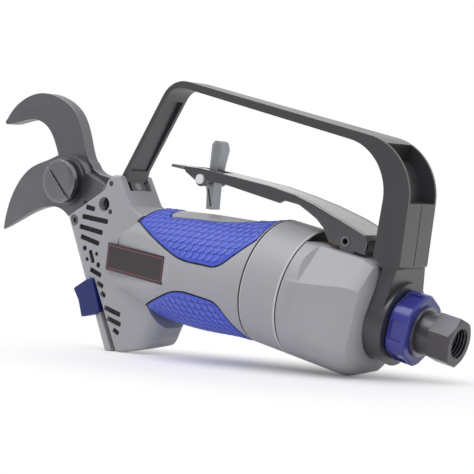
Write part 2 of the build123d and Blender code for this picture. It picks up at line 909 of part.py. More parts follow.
# Cylinder liner
with BuildPart() as cylinder_liner:
    with BuildSketch(station(liner_front)):
        Circle(liner_radius)
        Circle(liner_bore, mode=Mode.SUBTRACT)
    extrude(amount=liner_rear - liner_front)

# Piston, its seal and its nut
piston_end = piston_rest_x + piston_length
with BuildPart() as piston:
    with BuildSketch(station(piston_rest_x)):
        Circle(liner_bore - run_clearance)
        Circle(rod_end_radius + seat_clearance, mode=Mode.SUBTRACT)
    extrude(amount=piston_length)
    with BuildSketch(station(piston_rest_x + (piston_length - seal_width) / 2)):
        Circle(liner_bore)
        Circle(liner_bore - seal_depth, mode=Mode.SUBTRACT)
    extrude(amount=seal_width, mode=Mode.SUBTRACT)

with BuildPart() as piston_seal:
    with BuildSketch(station(piston_rest_x + (piston_length - seal_width) / 2)):
        Circle(liner_bore - run_clearance / 2)
        Circle(liner_bore - seal_depth + seat_clearance, mode=Mode.SUBTRACT)
    extrude(amount=seal_width)

with BuildPart() as rod_nut:
    with BuildSketch(station(piston_end)):
        RegularPolygon(rod_nut_radius, 6)
        Circle(rod_end_radius + seat_clearance, mode=Mode.SUBTRACT)
    extrude(amount=rod_nut_length)

# Piston rod, stepped at both ends for the yoke and the piston
yoke_block_end = yoke_block_x + yoke_block_length
with BuildPart() as piston_rod:
    with BuildSketch(station(yoke_block_x)):
        Circle(rod_end_radius)
    extrude(amount=piston_end + rod_nut_length - yoke_block_x)
    with BuildSketch(station(yoke_block_end)):
        Circle(rod_radius)
    extrude(amount=piston_rest_x - yoke_block_end)

# Rod bush and rod seal in the front of the cylinder
with BuildPart() as rod_bush:
    with BuildSketch(station(liner_front - rod_seal_length - bush_length)):
        Circle(bush_radius)
        Circle(rod_radius + run_clearance, mode=Mode.SUBTRACT)
    extrude(amount=bush_length)

with BuildPart() as rod_seal:
    with BuildSketch(station(liner_front - rod_seal_length)):
        Circle(bush_radius)
        Circle(rod_radius + run_clearance / 2, mode=Mode.SUBTRACT)
    extrude(amount=rod_seal_length)

# Return spring in front of the piston, hidden in the liner
with BuildPart() as return_spring:
    with BuildSketch(station(liner_front)):
        Circle(spring_outer)
        Circle(spring_inner, mode=Mode.SUBTRACT)
    extrude(amount=piston_rest_x - liner_front)

# Yoke: a plate beside the blade's tail whose bowed slot carries the tail's roller, on a block on the rod
slot_half = roller_radius + roller_clearance
with BuildPart() as yoke:
    with BuildSketch(across(yoke_far)):
        with BuildLine():
            ThreePointArc(tail_open, slot_mid, slot_low)
        trace(line_width=2 * yoke_half)
        with Locations(tail_open, slot_low):
            Circle(yoke_half)
        with Locations(((slot_mid[0] + yoke_block_end) / 2, 0)):
            Rectangle(yoke_block_end - slot_mid[0], 2 * yoke_block_half)
    extrude(amount=yoke_thickness)
    with BuildSketch(across(yoke_far)):
        with BuildLine():
            ThreePointArc(tail_open, slot_mid, slot_low)
        trace(line_width=2 * slot_half)
        with Locations(tail_open, slot_low):
            Circle(slot_half)
    extrude(amount=yoke_thickness, mode=Mode.SUBTRACT)
    with BuildSketch(across(rod_radius)):
        with Locations(((yoke_block_x + yoke_block_end) / 2, 0)):
            Rectangle(yoke_block_length, 2 * yoke_block_half)
    extrude(amount=rod_radius - yoke_near)
    with BuildSketch(station(yoke_block_x)):
        Circle(rod_end_radius + seat_clearance)
    extrude(amount=yoke_block_length, mode=Mode.SUBTRACT)

# Cutting blade with its hub and tail
with BuildPart() as cutting_blade:
    with BuildSketch(across(blade_far)):
        with BuildLine():
            Spline(*blade_edge)
            Spline(*blade_back)
            Polyline(
                blade_back[-1],
                blade_heel,
                (tail_open[0], tail_open[1] - tail_end_radius),
                (tail_open[0], tail_open[1] + tail_end_radius),
                (tail_open[0] - 2 * tail_end_radius, blade_neck_height),
                blade_shoulder,
                blade_edge[0],
            )
        make_face()
        with Locations(pivot):
            Circle(blade_hub_radius)
        with Locations(tail_open):
            Circle(tail_end_radius)
    extrude(amount=blade_thickness)
    with BuildSketch(across(blade_far)):
        with Locations(pivot):
            Circle(pivot_radius + run_clearance)
        with Locations(tail_open):
            Circle(tail_pin_radius + seat_clearance)
    extrude(amount=blade_thickness, mode=Mode.SUBTRACT)
    # Near face ground away towards the tip
    with BuildSketch(Plane.XY):
        with BuildLine():
            Polyline(
                (blade_taper_start, blade_near),
                (blade_edge[-1][0], -blade_tip_thickness),
                (blade_edge[-1][0] - 2, -blade_tip_thickness),
                (blade_edge[-1][0] - 2, blade_near - 1),
                (blade_taper_start, blade_near - 1),
                close=True,
            )
        make_face()
    extrude(amount=2 * body_radius, both=True, mode=Mode.SUBTRACT)

# Pin and roller in the blade's tail
with BuildPart() as tail_pin:
    with BuildSketch(across(blade_far)):
        with Locations(tail_open):
            Circle(tail_pin_radius)
    extrude(amount=blade_far - yoke_near)

with BuildPart() as tail_roller:
    with BuildSketch(across(yoke_far)):
        with Locations(tail_open):
            Circle(roller_radius)
            Circle(tail_pin_radius + run_clearance, mode=Mode.SUBTRACT)
    extrude(amount=yoke_thickness)

# Hooked counter blade, its shank clamped in the head's lug
with BuildPart() as hook_blade:
    with BuildSketch(across(hook_far)):
        with BuildLine():
            Spline(*hook_outer)
            Polyline(
                hook_outer[-1],
                (shank_end_x, hook_shank_top),
                (shank_end_x, hook_shank_bottom),
                *hook_throat,
            )
            Spline(*hook_inner)
            ThreePointArc(hook_inner[-1], hook_tip, hook_outer[0])
        make_face()
        with Locations(pivot):
            Circle(hook_hub_radius)
    extrude(amount=hook_thickness)
    with BuildSketch(across(hook_far)):
        with Locations(pivot):
            Circle(pivot_radius + seat_clearance)
        with Locations(*hook_screw_places):
            Circle(hook_screw_radius + seat_clearance)
    extrude(amount=hook_thickness, mode=Mode.SUBTRACT)

# Screws of the hook's shank
with BuildPart() as hook_screws:
    with BuildSketch(across(head_half_width)):
        with Locations(*hook_screw_places):
            Circle(hook_head_radius)
    extrude(amount=hook_head_height)
    with BuildSketch(across(head_half_width)):
        with Locations(*hook_screw_places):
            Circle(hook_screw_radius)
    extrude(amount=head_half_width - hook_screw_end)

# Pivot bolt, washer and nut
washer_near = blade_near - washer_thickness
bolt_head_far = washer_near - bolt_collar_height
bolt_head_near = bolt_head_far - bolt_head_height
with BuildPart() as pivot_bolt:
    with BuildSketch(across(washer_near)):
        with Locations(pivot):
            Circle(bolt_collar_radius)
    extrude(amount=bolt_collar_height)
    with BuildSketch(across(bolt_head_far)):
        with Locations(pivot):
            Circle(bolt_head_radius)
    extrude(amount=bolt_head_height)
    bolt_face = faces().sort_by(Axis.Y)[0]
    chamfer(bolt_face.edges(), bolt_rim_width, length2=bolt_rim_height, reference=bolt_face)
    with BuildSketch(across(bolt_head_near + bolt_slot_depth)):
        with Locations(pivot):
            Rectangle(2 * bolt_head_radius + 1, bolt_slot_width, rotation=bolt_slot_turn)
    extrude(amount=bolt_slot_depth, mode=Mode.SUBTRACT)
    with BuildSketch(across(hook_far + layer_gap + nut_length)):
        with Locations(pivot):
            Circle(pivot_radius)
    extrude(amount=hook_far + layer_gap + nut_length - washer_near)

with BuildPart() as pivot_washer:
    with BuildSketch(across(blade_near)):
        with Locations(pivot):
            Circle(washer_radius)
            Circle(pivot_radius + seat_clearance, mode=Mode.SUBTRACT)
    extrude(amount=washer_thickness)

with BuildPart() as pivot_nut:
    with BuildSketch(across(hook_far + nut_length)):
        with Locations(pivot):
            RegularPolygon(nut_across_flats / sqrt(3), 6)
            Circle(pivot_radius + seat_clearance, mode=Mode.SUBTRACT)
    extrude(amount=nut_length)

# Screw in the nose
with BuildPart() as nose_screw:
    with BuildSketch(across(nose_sink + nose_head_height - head_half_width)):
        with Locations(nose_screw_place):
            Circle(nose_head_radius)
    extrude(amount=nose_head_height)
    with BuildSketch(across(cavity_near)):
        with Locations(nose_screw_place):
            Circle(nose_shank_radius)
    extrude(amount=near_wall - nose_sink - nose_head_height)
    with BuildSketch(across(nose_sink + nose_socket_depth - head_half_width)):
        with Locations(nose_screw_place):
            RegularPolygon(nose_socket_radius, 6)
    extrude(amount=nose_socket_depth, mode=Mode.SUBTRACT)

# Stop pad
with BuildPart() as stop_pad:
    with BuildSketch(across(stop_pad_near + stop_pad_depth)):
        with BuildLine():
            Polyline(*stop_pad_outline, close=True)
        make_face()
        fillet(vertices(), stop_pad_corner)
    extrude(amount=stop_pad_depth)

# Trigger lever: a folded sheet channel with a tongue in front
def mirrored(points):
    """Closed plan outline from its +Y half."""
    return (*points, *((x, -y) for x, y in reversed(points)))


def mirrored_upright(points):
    """Closed cross-section outline from its +Y half."""
    return (*points, *((-y, z) for y, z in reversed(points)))


def cheek_line(start, inset):
    """Plan line along the lever's +Y cheek from start to past the rear end, set in from the outside."""
    return (
        (start, lever_front_half - inset),
        (lever_widening[0], lever_front_half - inset),
        (lever_widening[1], lever_rear_half - inset),
        (lever_end_x + 10, lever_rear_half - inset),
    )


# Inside of the lever's channel, taken out of it below
with BuildPart() as channel:
    with BuildSketch(across(lever_rear_half)):
        with BuildLine():
            Polyline(
                *((x, z - lever_sheet) for x, z in lever_top[1:]),
                (lever_end_x + 10, lever_top[-1][1] - 5),
                (lever_end_x + 10, 0.0),
                (lever_top[1][0], 0.0),
                close=True,
            )
        make_face()
    extrude(amount=2 * lever_rear_half)
    with BuildSketch(Plane.XY):
        with BuildLine():
            Polyline(*mirrored(cheek_line(lever_cheek_start + lever_sheet, lever_sheet)), close=True)
        make_face()
    extrude(amount=2 * body_radius, mode=Mode.INTERSECT)

# Two grooves pressed into the lever's roof behind the latch, along its edges
roof_line = lever_top[3:]
with BuildPart() as roof_grooves:
    with BuildSketch(across(lever_rear_half)):
        with BuildLine():
            Polyline(
                *((x, z + 1) for x, z in roof_line),
                *((x, z - lever_groove_depth) for x, z in reversed(roof_line)),
                close=True,
            )
        make_face()
    extrude(amount=2 * lever_rear_half)
    with BuildSketch(Plane.XY):
        for side in (1, -1):
            with BuildLine():
                Polyline(
                    *((x, side * y) for x, y in cheek_line(roof_line[0][0], lever_groove_inset)),
                    *(
                        (x, side * (y - lever_groove_width))
                        for x, y in reversed(cheek_line(roof_line[0][0], lever_groove_inset))
                    ),
                    close=True,
                )
            make_face()
    extrude(amount=2 * body_radius, mode=Mode.INTERSECT)

with BuildPart() as trigger_lever:
    with BuildSketch(across(lever_rear_half)):
        with BuildLine():
            Polyline(*lever_top, *lever_bottom, close=True)
        make_face()
        with Locations((latch_pin_x, latch_pin_z)):
            Circle(latch_boss_radius)
    extrude(amount=2 * lever_rear_half)
    with BuildSketch(Plane.XY):
        with BuildLine():
            Polyline(*mirrored(lever_plan), close=True)
        make_face()
    extrude(amount=2 * body_radius, mode=Mode.INTERSECT)
    # Inside of the channel
    add(channel.part, mode=Mode.SUBTRACT)
    add(roof_grooves.part, mode=Mode.SUBTRACT)
    # Slot for the latch and holes for the two pins
    with BuildSketch(Plane.XY.offset(lever_pivot_z)):
        with Locations(((latch_slot[0] + latch_slot[1]) / 2, 0)):
            Rectangle(latch_slot[1] - latch_slot[0], 2 * (latch_half_width + cover_gap))
    extrude(amount=body_radius, mode=Mode.SUBTRACT)
    with BuildSketch(across(lever_rear_half)):
        with Locations((lever_pivot_x, lever_pivot_z)):
            Circle(lever_pin_radius + run_clearance)
        with Locations((latch_pin_x, latch_pin_z)):
            Circle(latch_pin_radius + seat_clearance)
    extrude(amount=2 * lever_rear_half, mode=Mode.SUBTRACT)

# Lever pin, a hollow roll pin nearly flush with the cheeks
with BuildPart() as lever_pin:
    with BuildSketch(across(lever_rear_half + lever_pin_proud)):
        with Locations((lever_pivot_x, lever_pivot_z)):
            Circle(lever_pin_radius)
            Circle(lever_pin_bore, mode=Mode.SUBTRACT)
    extrude(amount=2 * (lever_rear_half + lever_pin_proud))

# Safety latch, its pin and its small torsion spring
with BuildPart() as safety_latch:
    with BuildSketch(across(latch_half_width)):
        with BuildLine():
            Polyline(*latch_outline, close=True)
        make_face()
        fillet(vertices().sort_by(Axis.Y)[-2:], latch_top_radius)
        with Locations((latch_pin_x, latch_pin_z)):
            Circle(latch_hub_radius)
    extrude(amount=2 * latch_half_width)
    with BuildSketch(across(latch_half_width)):
        with Locations((latch_pin_x, latch_pin_z)):
            Circle(latch_pin_radius + run_clearance)
    extrude(amount=2 * latch_half_width, mode=Mode.SUBTRACT)

with BuildPart() as latch_pin:
    with BuildSketch(across(lever_front_half + latch_pin_head_height)):
        with Locations((latch_pin_x, latch_pin_z)):
            Circle(latch_pin_radius)
    extrude(amount=2 * (lever_front_half + latch_pin_head_height))
    for head_far in (lever_front_half + latch_pin_head_height, -lever_front_half):
        with BuildSketch(across(head_far)):
            with Locations((latch_pin_x, latch_pin_z)):
                Circle(latch_pin_radius + latch_pin_head)
        extrude(amount=latch_pin_head_height)

with BuildPart() as latch_spring:
    with BuildSketch(across(lever_front_half - lever_sheet - layer_gap)):
        with Locations((latch_pin_x, latch_pin_z)):
            Circle(latch_pin_radius + layer_gap + latch_spring_wire)
            Circle(latch_pin_radius + layer_gap, mode=Mode.SUBTRACT)
    extrude(amount=lever_front_half - lever_sheet - latch_half_width - 2 * layer_gap)

# Valve: bush, plunger, its ring and its spring
def lever_underside(x):
    """Height of the inside of the lever's roof between its last bends."""
    (x1, z1), (x2, z2) = lever_top[6], lever_top[7]
    return z1 + (z2 - z1) * (x - x1) / (x2 - x1) - lever_sheet


with BuildPart() as valve_bush:
    with BuildSketch(Plane.XY.offset(valve_bush_bottom)):
        with Locations((valve_x, 0)):
            Circle(valve_bush_radius)
            Circle(valve_stem_radius + run_clearance, mode=Mode.SUBTRACT)
    extrude(amount=cap_top_flat - valve_bush_bottom)

valve_top = lever_underside(valve_x + valve_stem_radius) - valve_gap
with BuildPart() as valve_plunger:
    with BuildSketch(Plane.XY.offset(valve_seat - valve_head_height)):
        with Locations((valve_x, 0)):
            Circle(valve_bush_radius - valve_head_play)
    extrude(amount=valve_head_height)
    with BuildSketch(Plane.XY.offset(valve_seat)):
        with Locations((valve_x, 0)):
            Circle(valve_stem_radius)
    extrude(amount=valve_top - valve_seat)

with BuildPart() as valve_ring:
    with BuildSketch(Plane.XY.offset(valve_seat)):
        with Locations((valve_x, 0)):
            Circle(valve_bush_radius - valve_head_play)
            Circle(valve_stem_radius + seat_clearance, mode=Mode.SUBTRACT)
    extrude(amount=valve_ring_height)

with BuildPart() as valve_spring:
    with BuildSketch(Plane.XY.offset(valve_floor)):
        with Locations((valve_x, 0)):
            Circle(valve_bush_radius - valve_spring_play)
            Circle(valve_stem_radius + valve_spring_play, mode=Mode.SUBTRACT)
    extrude(amount=valve_seat - valve_head_height - valve_floor)

# Hand guard: a band from the head's lug over the lever to a thick rear leg with a ring round the inlet
guard_foot_out = guard_foot_thickness - guard_foot_sink
guard_outline = (
    on_slope(guard_foot_length, -guard_foot_sink),
    on_slope(-0.6, -guard_foot_sink),
    (slope_top[0] - 2.0, slope_top[1] + 1.1),
    guard_front_corner,
    guard_rear_corner,
    *guard_step,
    (guard_ring_start + guard_flare_depth, 10.0),
    (guard_ring_start, 10.0),
    (guard_ring_start, 22.6),
    guard_inner_foot,
    guard_rear_inner,
    guard_front_inner,
    (slope_top[0] + 1.3, slope_top[1] + 3.1),
    on_slope(2.4, guard_foot_out),
    on_slope(guard_foot_length, guard_foot_out),
)
guard_corner_fillets = (
    (guard_front_corner, guard_front_radius),
    (guard_rear_corner, guard_corner_radius),
    (guard_rear_inner, guard_inner_radius),
    (guard_front_inner, guard_front_inner_radius),
)


def guard_rear_x(z):
    """Rear face of the guard's leg at height z."""
    (x1, z1), (x2, z2) = guard_rear_corner, guard_step[0]
    return x1 + (x2 - x1) * (z1 - z) / (z1 - z2)


# Middle of the round at the guard's rear corner, for the pocket in it
def leg_point(share, out):
    """Point beside the inner edge of the front leg: share of the way up it, and distance towards the hand."""
    (x1, z1), (x2, z2) = on_slope(2.4, guard_foot_out), guard_front_inner
    length = hypot(x2 - x1, z2 - z1)
    return (
        x1 + share * (x2 - x1) + out * (z2 - z1) / length,
        z1 + share * (z2 - z1) - out * (x2 - x1) / length,
    )


pocket_middle = (guard_rear_x(50.0) - guard_corner_radius, 49.4)
pocket_reach = 2 * body_radius
with BuildPart() as hand_guard:
    with BuildSketch(across(guard_rear_half)):
        with BuildLine():
            Polyline(*guard_outline, close=True)
        make_face()
        for corner, radius in guard_corner_fillets:
            fillet(vertices().sort_by_distance(corner)[0], radius)
    extrude(amount=2 * guard_rear_half)
    with BuildSketch(Plane.XY):
        with BuildLine():
            Polyline(*mirrored(guard_plan), close=True)
        make_face()
    extrude(amount=4 * body_radius, mode=Mode.INTERSECT)
    # Narrow foot in the lug's pocket
    for far in (guard_front_half + 1, -guard_foot_half):
        with BuildSketch(across(far)):
            with BuildLine():
                Polyline(
                    on_slope(2.6, -guard_foot_sink - 1),
                    on_slope(guard_foot_length + 1, -guard_foot_sink - 1),
                    on_slope(guard_foot_length + 1, guard_foot_out + 1),
                    on_slope(2.6, guard_foot_out + 1),
                    close=True,
                )
            make_face()
        extrude(amount=guard_front_half + 1 - guard_foot_half, mode=Mode.SUBTRACT)
    # Pocket in the rear corner and the seam below it
    with BuildSketch(across(guard_pocket_half)):
        with BuildLine():
            Polyline(
                pocket_middle,
                *(
                    (
                        pocket_middle[0] + pocket_reach * cos(radians(angle)),
                        pocket_middle[1] + pocket_reach * sin(radians(angle)),
                    )
                    for angle in guard_pocket_angles
                ),
                close=True,
            )
        make_face()
        with Locations(pocket_middle):
            Circle(guard_corner_radius - guard_pocket_depth, mode=Mode.SUBTRACT)
    extrude(amount=2 * guard_pocket_half, mode=Mode.SUBTRACT)
    # Channel along the inner side of the front leg
    with BuildSketch(across(guard_channel_half)):
        with BuildLine():
            Polyline(
                leg_point(guard_channel_ends[0], -guard_channel_depth),
                leg_point(guard_channel_ends[1], -guard_channel_depth),
                leg_point(guard_channel_ends[1], guard_channel_depth),
                leg_point(guard_channel_ends[0], guard_channel_depth),
                close=True,
            )
        make_face()
    extrude(amount=2 * guard_channel_half, mode=Mode.SUBTRACT)
    with BuildSketch(across(guard_seam / 2)):
        with BuildLine():
            Polyline(
                (guard_rear_x(guard_seam_top) - guard_seam, guard_seam_top),
                (guard_step[0][0] - guard_seam, guard_step[0][1]),
                (guard_step[0][0] + 5, guard_step[0][1]),
                (guard_step[0][0] + 5, guard_seam_top),
                close=True,
            )
        make_face()
    extrude(amount=guard_seam, mode=Mode.SUBTRACT)
    # Flared end and ring round the inlet
    with BuildSketch(station(guard_ring_start)):
        with BuildLine():
            Polyline(*mirrored_upright(guard_flare), close=True)
        make_face()
    extrude(amount=guard_flare_depth)
    with BuildSketch(station(guard_ring_start)):
        Circle(guard_ring_radius)
    extrude(amount=guard_ring_length)
    with BuildSketch(station(guard_ring_start)):
        Circle(journal_radius + seat_clearance)
    extrude(amount=guard_ring_length + 1, mode=Mode.SUBTRACT)
    # Hole and counterbore of the front screw
    with BuildSketch(guard_screw_plane):
        Circle(guard_screw_radius + seat_clearance)
    extrude(amount=guard_foot_thickness, mode=Mode.SUBTRACT)
    with BuildSketch(guard_screw_plane.offset(guard_foot_thickness - guard_screw_head_height)):
        Circle(guard_screw_head_radius + seat_clearance)
    extrude(amount=guard_screw_head_height + 2, mode=Mode.SUBTRACT)

with BuildPart() as guard_screw:
    with BuildSketch(guard_screw_plane.offset(guard_foot_thickness - guard_screw_head_height)):
        Circle(guard_screw_head_radius)
    extrude(amount=guard_screw_head_height)
    with BuildSketch(guard_screw_plane.offset(-guard_screw_grip)):
        Circle(guard_screw_radius)
    extrude(amount=guard_screw_grip + guard_foot_thickness - guard_screw_head_height)

# Inlet fitting: spigot in the cap, journal for the collar, neck and threaded hexagon
hex_corner = hex_across_flats / sqrt(3)
with BuildPart() as hexagon:
    with BuildSketch(station(hex_start)):
        RegularPolygon(hex_corner, 6, rotation=hex_turn)
    extrude(amount=hex_length)
    with BuildSketch(Plane.XZ):
        with BuildLine():
            Polyline(
                (hex_start, 0),
                (hex_start, hex_corner),
                (hex_end - hex_bevel_length, hex_corner),
                (hex_end, hex_face_radius),
                (hex_end, 0),
                close=True,
            )
        make_face()
    revolve(axis=Axis.X, mode=Mode.INTERSECT)

with BuildPart() as inlet_fitting:
    with BuildSketch(station(inlet_spigot_start)):
        Circle(inlet_spigot_radius)
    extrude(amount=guard_ring_start - inlet_spigot_start)
    with BuildSketch(station(cap_end_x)):
        Circle(journal_radius)
    extrude(amount=collar_end + layer_gap - cap_end_x)
    with BuildSketch(station(collar_end)):
        Circle(neck_radius)
    extrude(amount=neck_length)
    add(hexagon.part)
    with BuildSketch(station(hex_end)):
        Circle(thread_radius)
    extrude(amount=-thread_length, mode=Mode.SUBTRACT)
    with BuildSketch(station(inlet_spigot_start)):
        Circle(air_passage)
    extrude(amount=hex_end - inlet_spigot_start, mode=Mode.SUBTRACT)

# Exhaust collar that turns on the fitting's journal, and the ring that keeps it on
with BuildPart() as exhaust_collar:
    with BuildSketch(station(collar_start)):
        RegularPolygon(collar_across_flats / sqrt(3), 6, rotation=30)
        fillet(vertices(), collar_corner)
    extrude(amount=collar_length)
    chamfer(faces().filter_by(Axis.X).edges(), collar_chamfer)
    for angle in range(0, 360, 60):
        facing = Plane(
            origin=((collar_start + collar_end) / 2, 0, 0),
            x_dir=(1, 0, 0),
            z_dir=(0, cos(radians(angle)), sin(radians(angle))),
        )
        with BuildSketch(facing.offset(collar_across_flats / 2 - collar_window_depth)):
            RectangleRounded(*collar_window, collar_window_corner)
        extrude(amount=2 * collar_window_depth, mode=Mode.SUBTRACT)
    with BuildSketch(station(collar_start)):
        Circle(journal_radius + run_clearance)
    extrude(amount=collar_length, mode=Mode.SUBTRACT)

with BuildPart() as collar_clip:
    with BuildSketch(station(collar_end + layer_gap)):
        Circle(clip_radius)
        Circle(neck_radius + seat_clearance, mode=Mode.SUBTRACT)
    extrude(amount=clip_thickness)

# Lay the tool on the table, centred under its box
pieces = {
    "body_housing": body_housing,
    "grip_pad_top": grip_pad_top,
    "grip_pad_bottom": grip_pad_bottom,
    "vent_sheet": vent_sheet,
    "front_gasket": front_gasket,
    "middle_ring": middle_ring,
    "rear_gasket": rear_gasket,
    "rear_cap": rear_cap,
    "cylinder_liner": cylinder_liner,
    "piston": piston,
    "piston_seal": piston_seal,
    "rod_nut": rod_nut,
    "piston_rod": piston_rod,
    "rod_bush": rod_bush,
    "rod_seal": rod_seal,
    "return_spring": return_spring,
    "yoke": yoke,
    "cutting_blade": cutting_blade,
    "tail_pin": tail_pin,
    "tail_roller": tail_roller,
    "hook_blade": hook_blade,
    "hook_screws": hook_screws,
    "pivot_bolt": pivot_bolt,
    "pivot_washer": pivot_washer,
    "pivot_nut": pivot_nut,
    "nose_screw": nose_screw,
    "stop_pad": stop_pad,
    "trigger_lever": trigger_lever,
    "lever_pin": lever_pin,
    "safety_latch": safety_latch,
    "latch_pin": latch_pin,
    "latch_spring": latch_spring,
    "valve_bush": valve_bush,
    "valve_plunger": valve_plunger,
    "valve_ring": valve_ring,
    "valve_spring": valve_spring,
    "hand_guard": hand_guard,
    "guard_screw": guard_screw,
    "inlet_fitting": inlet_fitting,
    "exhaust_collar": exhaust_collar,
    "collar_clip": collar_clip,
}
turned = Location((0, 0, 0), (0, rest_tilt, 0))
boxes = [piece.part.moved(turned).bounding_box() for piece in pieces.values()]
middle_x = (min(box.min.X for box in boxes) + max(box.max.X for box in boxes)) / 2
resting = Location((-middle_x, 0, -floor_level), (0, rest_tilt, 0))
for label, piece in pieces.items():
    piece.part = piece.part.moved(resting)
    piece.part.label = label
    export_step(piece.part, f"parts/{label}.step")
print(f"resting pose: tilt {rest_tilt} deg, tool origin at x {-middle_x:.3f}, z {-floor_level:.3f}")
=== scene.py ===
import math

import bpy
import numpy as np
from mathutils import Matrix, Vector, kdtree


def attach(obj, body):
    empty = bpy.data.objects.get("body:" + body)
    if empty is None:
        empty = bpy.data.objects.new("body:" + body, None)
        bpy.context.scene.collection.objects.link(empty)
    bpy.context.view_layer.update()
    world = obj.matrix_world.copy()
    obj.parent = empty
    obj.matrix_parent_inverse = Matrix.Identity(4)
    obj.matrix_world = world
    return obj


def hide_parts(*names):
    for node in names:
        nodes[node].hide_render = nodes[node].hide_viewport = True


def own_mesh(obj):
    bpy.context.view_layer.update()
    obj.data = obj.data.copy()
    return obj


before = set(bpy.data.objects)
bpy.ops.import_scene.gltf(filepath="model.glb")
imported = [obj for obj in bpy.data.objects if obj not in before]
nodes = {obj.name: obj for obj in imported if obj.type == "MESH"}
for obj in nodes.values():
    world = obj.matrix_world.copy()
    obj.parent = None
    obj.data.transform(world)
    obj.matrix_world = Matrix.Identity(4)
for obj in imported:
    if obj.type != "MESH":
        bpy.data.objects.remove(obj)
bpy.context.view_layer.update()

# Body housing, middle ring and rear cap: an aluminium casting for the grip, the neck and the head with its
# foot, and the ring and the cap that close the cylinder behind it. All three are sprayed in a satin light
# grey that shows a fine orange peel from close by. Their eased edges take a paler grey, a painted edge
# highlight together with paint worn thin there.
relief_depth = 0.00005
weld_distance = 0.000001
flat_angle = math.radians(0.8)
crease_angle = math.radians(34)
round_segments = 3
housing_edge = 0.0004
housing_grain = 1400.0


def srgb(red, green, blue):
    """Linear colour, with alpha, of a display colour given from 0 to 255."""
    linear = []
    for value in (red, green, blue):
        value /= 255
        linear.append(value / 12.92 if value <= 0.04045 else ((value + 0.055) / 1.055) ** 2.4)
    return (*linear, 1.0)


def socket_name(key):
    """Name of a node's socket, from a key in small letters."""
    return key.replace("_", " ").title()


def place(tree, kind, **values):
    """New node in a tree. Values set its inputs by name or, where it has no such input, its settings."""
    node = tree.nodes.new(kind)
    for key, value in values.items():
        if socket_name(key) in node.inputs:
            node.inputs[socket_name(key)].default_value = value
        else:
            setattr(node, key, value)
    return node


def finish_group(name, **inputs):
    """Empty node group of a finish, with its inputs and their usual values, and its two end nodes."""
    group = bpy.data.node_groups.new(name, "ShaderNodeTree")
    kinds = {"colour": "NodeSocketColor"}
    for key, value in inputs.items():
        kind = kinds.get(key, "NodeSocketFloat")
        group.interface.new_socket(socket_name(key), in_out="INPUT", socket_type=kind).default_value = value
    for key in ("colour", "roughness", "height"):
        kind = kinds.get(key, "NodeSocketFloat")
        group.interface.new_socket(socket_name(key), in_out="OUTPUT", socket_type=kind)
    return group, group.nodes.new("NodeGroupInput"), group.nodes.new("NodeGroupOutput")


def end_finish(group, start, end, fine, clouds, gloss):
    """Ends a finish: fine marks and clouds shade its colour, gloss its roughness, the marks its height."""
    links = group.links
    both = place(group, "ShaderNodeMath", operation="ADD")
    links.new(fine.outputs["Fac"], both.inputs[0])
    links.new(clouds.outputs["Fac"], both.inputs[1])
    shade = place(group, "ShaderNodeMapRange", from_min=0.6, from_max=1.4, to_min=-1.0, to_max=1.0)
    links.new(both.outputs[0], shade.inputs["Value"])
    amount = place(group, "ShaderNodeMath", operation="MULTIPLY_ADD")
    amount.inputs[2].default_value = 1.0
    links.new(shade.outputs["Result"], amount.inputs[0])
    links.new(start.outputs["Tint"], amount.inputs[1])
    tinted = place(group, "ShaderNodeVectorMath", operation="SCALE")
    links.new(start.outputs["Colour"], tinted.inputs[0])
    links.new(amount.outputs[0], tinted.inputs["Scale"])
    links.new(start.outputs["Roughness Low"], gloss.inputs["To Min"])
    links.new(start.outputs["Roughness High"], gloss.inputs["To Max"])
    links.new(tinted.outputs[0], end.inputs["Colour"])
    links.new(gloss.outputs["Result"], end.inputs["Roughness"])
    links.new(fine.outputs["Fac"], end.inputs["Height"])


def moulded_group():
    """Fine grain over faint broad clouds, as on sprayed, moulded and cast surfaces."""
    group, start, end = finish_group(
        "moulded",
        colour=(0.5, 0.5, 0.5, 1.0),
        tint=0.1,
        grain_per_metre=1500.0,
        clouds_per_metre=25.0,
        roughness_low=0.35,
        roughness_high=0.5,
    )
    links = group.links
    where = place(group, "ShaderNodeTexCoord")
    grain = place(group, "ShaderNodeTexNoise", detail=3.0, roughness=0.6)
    clouds = place(group, "ShaderNodeTexNoise", detail=4.0, roughness=0.55)
    links.new(where.outputs["Object"], grain.inputs["Vector"])
    links.new(where.outputs["Object"], clouds.inputs["Vector"])
    links.new(start.outputs["Grain Per Metre"], grain.inputs["Scale"])
    links.new(start.outputs["Clouds Per Metre"], clouds.inputs["Scale"])
    gloss = place(group, "ShaderNodeMapRange", from_min=0.35, from_max=0.65)
    links.new(clouds.outputs["Fac"], gloss.inputs["Value"])
    end_finish(group, start, end, grain, clouds, gloss)
    return group


MOULDED = moulded_group()


def surface(name, group, bump=0.2, metallic=0.0, lacquer=None, **values):
    """Material whose colour, roughness and bump come from a group, placed with its own values.

    Lacquer is the weight and the roughness of a clear coat over it.
    """
    material = bpy.data.materials.new(name)
    material.use_nodes = True
    tree = material.node_tree
    shader = tree.nodes["Principled BSDF"]
    shader.inputs["Metallic"].default_value = metallic
    if lacquer:
        shader.inputs["Coat Weight"].default_value = lacquer[0]
        shader.inputs["Coat Roughness"].default_value = lacquer[1]
    finish = tree.nodes.new("ShaderNodeGroup")
    finish.node_tree = group
    for key, value in values.items():
        finish.inputs[socket_name(key)].default_value = value
    relief = place(tree, "ShaderNodeBump", strength=bump, distance=relief_depth)
    tree.links.new(finish.outputs["Colour"], shader.inputs["Base Color"])
    tree.links.new(finish.outputs["Roughness"], shader.inputs["Roughness"])
    tree.links.new(finish.outputs["Height"], relief.inputs["Height"])
    tree.links.new(relief.outputs["Normal"], shader.inputs["Normal"])
    return material


def make_active(piece):
    """Selects a piece alone."""
    bpy.ops.object.select_all(action="DESELECT")
    piece.select_set(True)
    bpy.context.view_layer.objects.active = piece


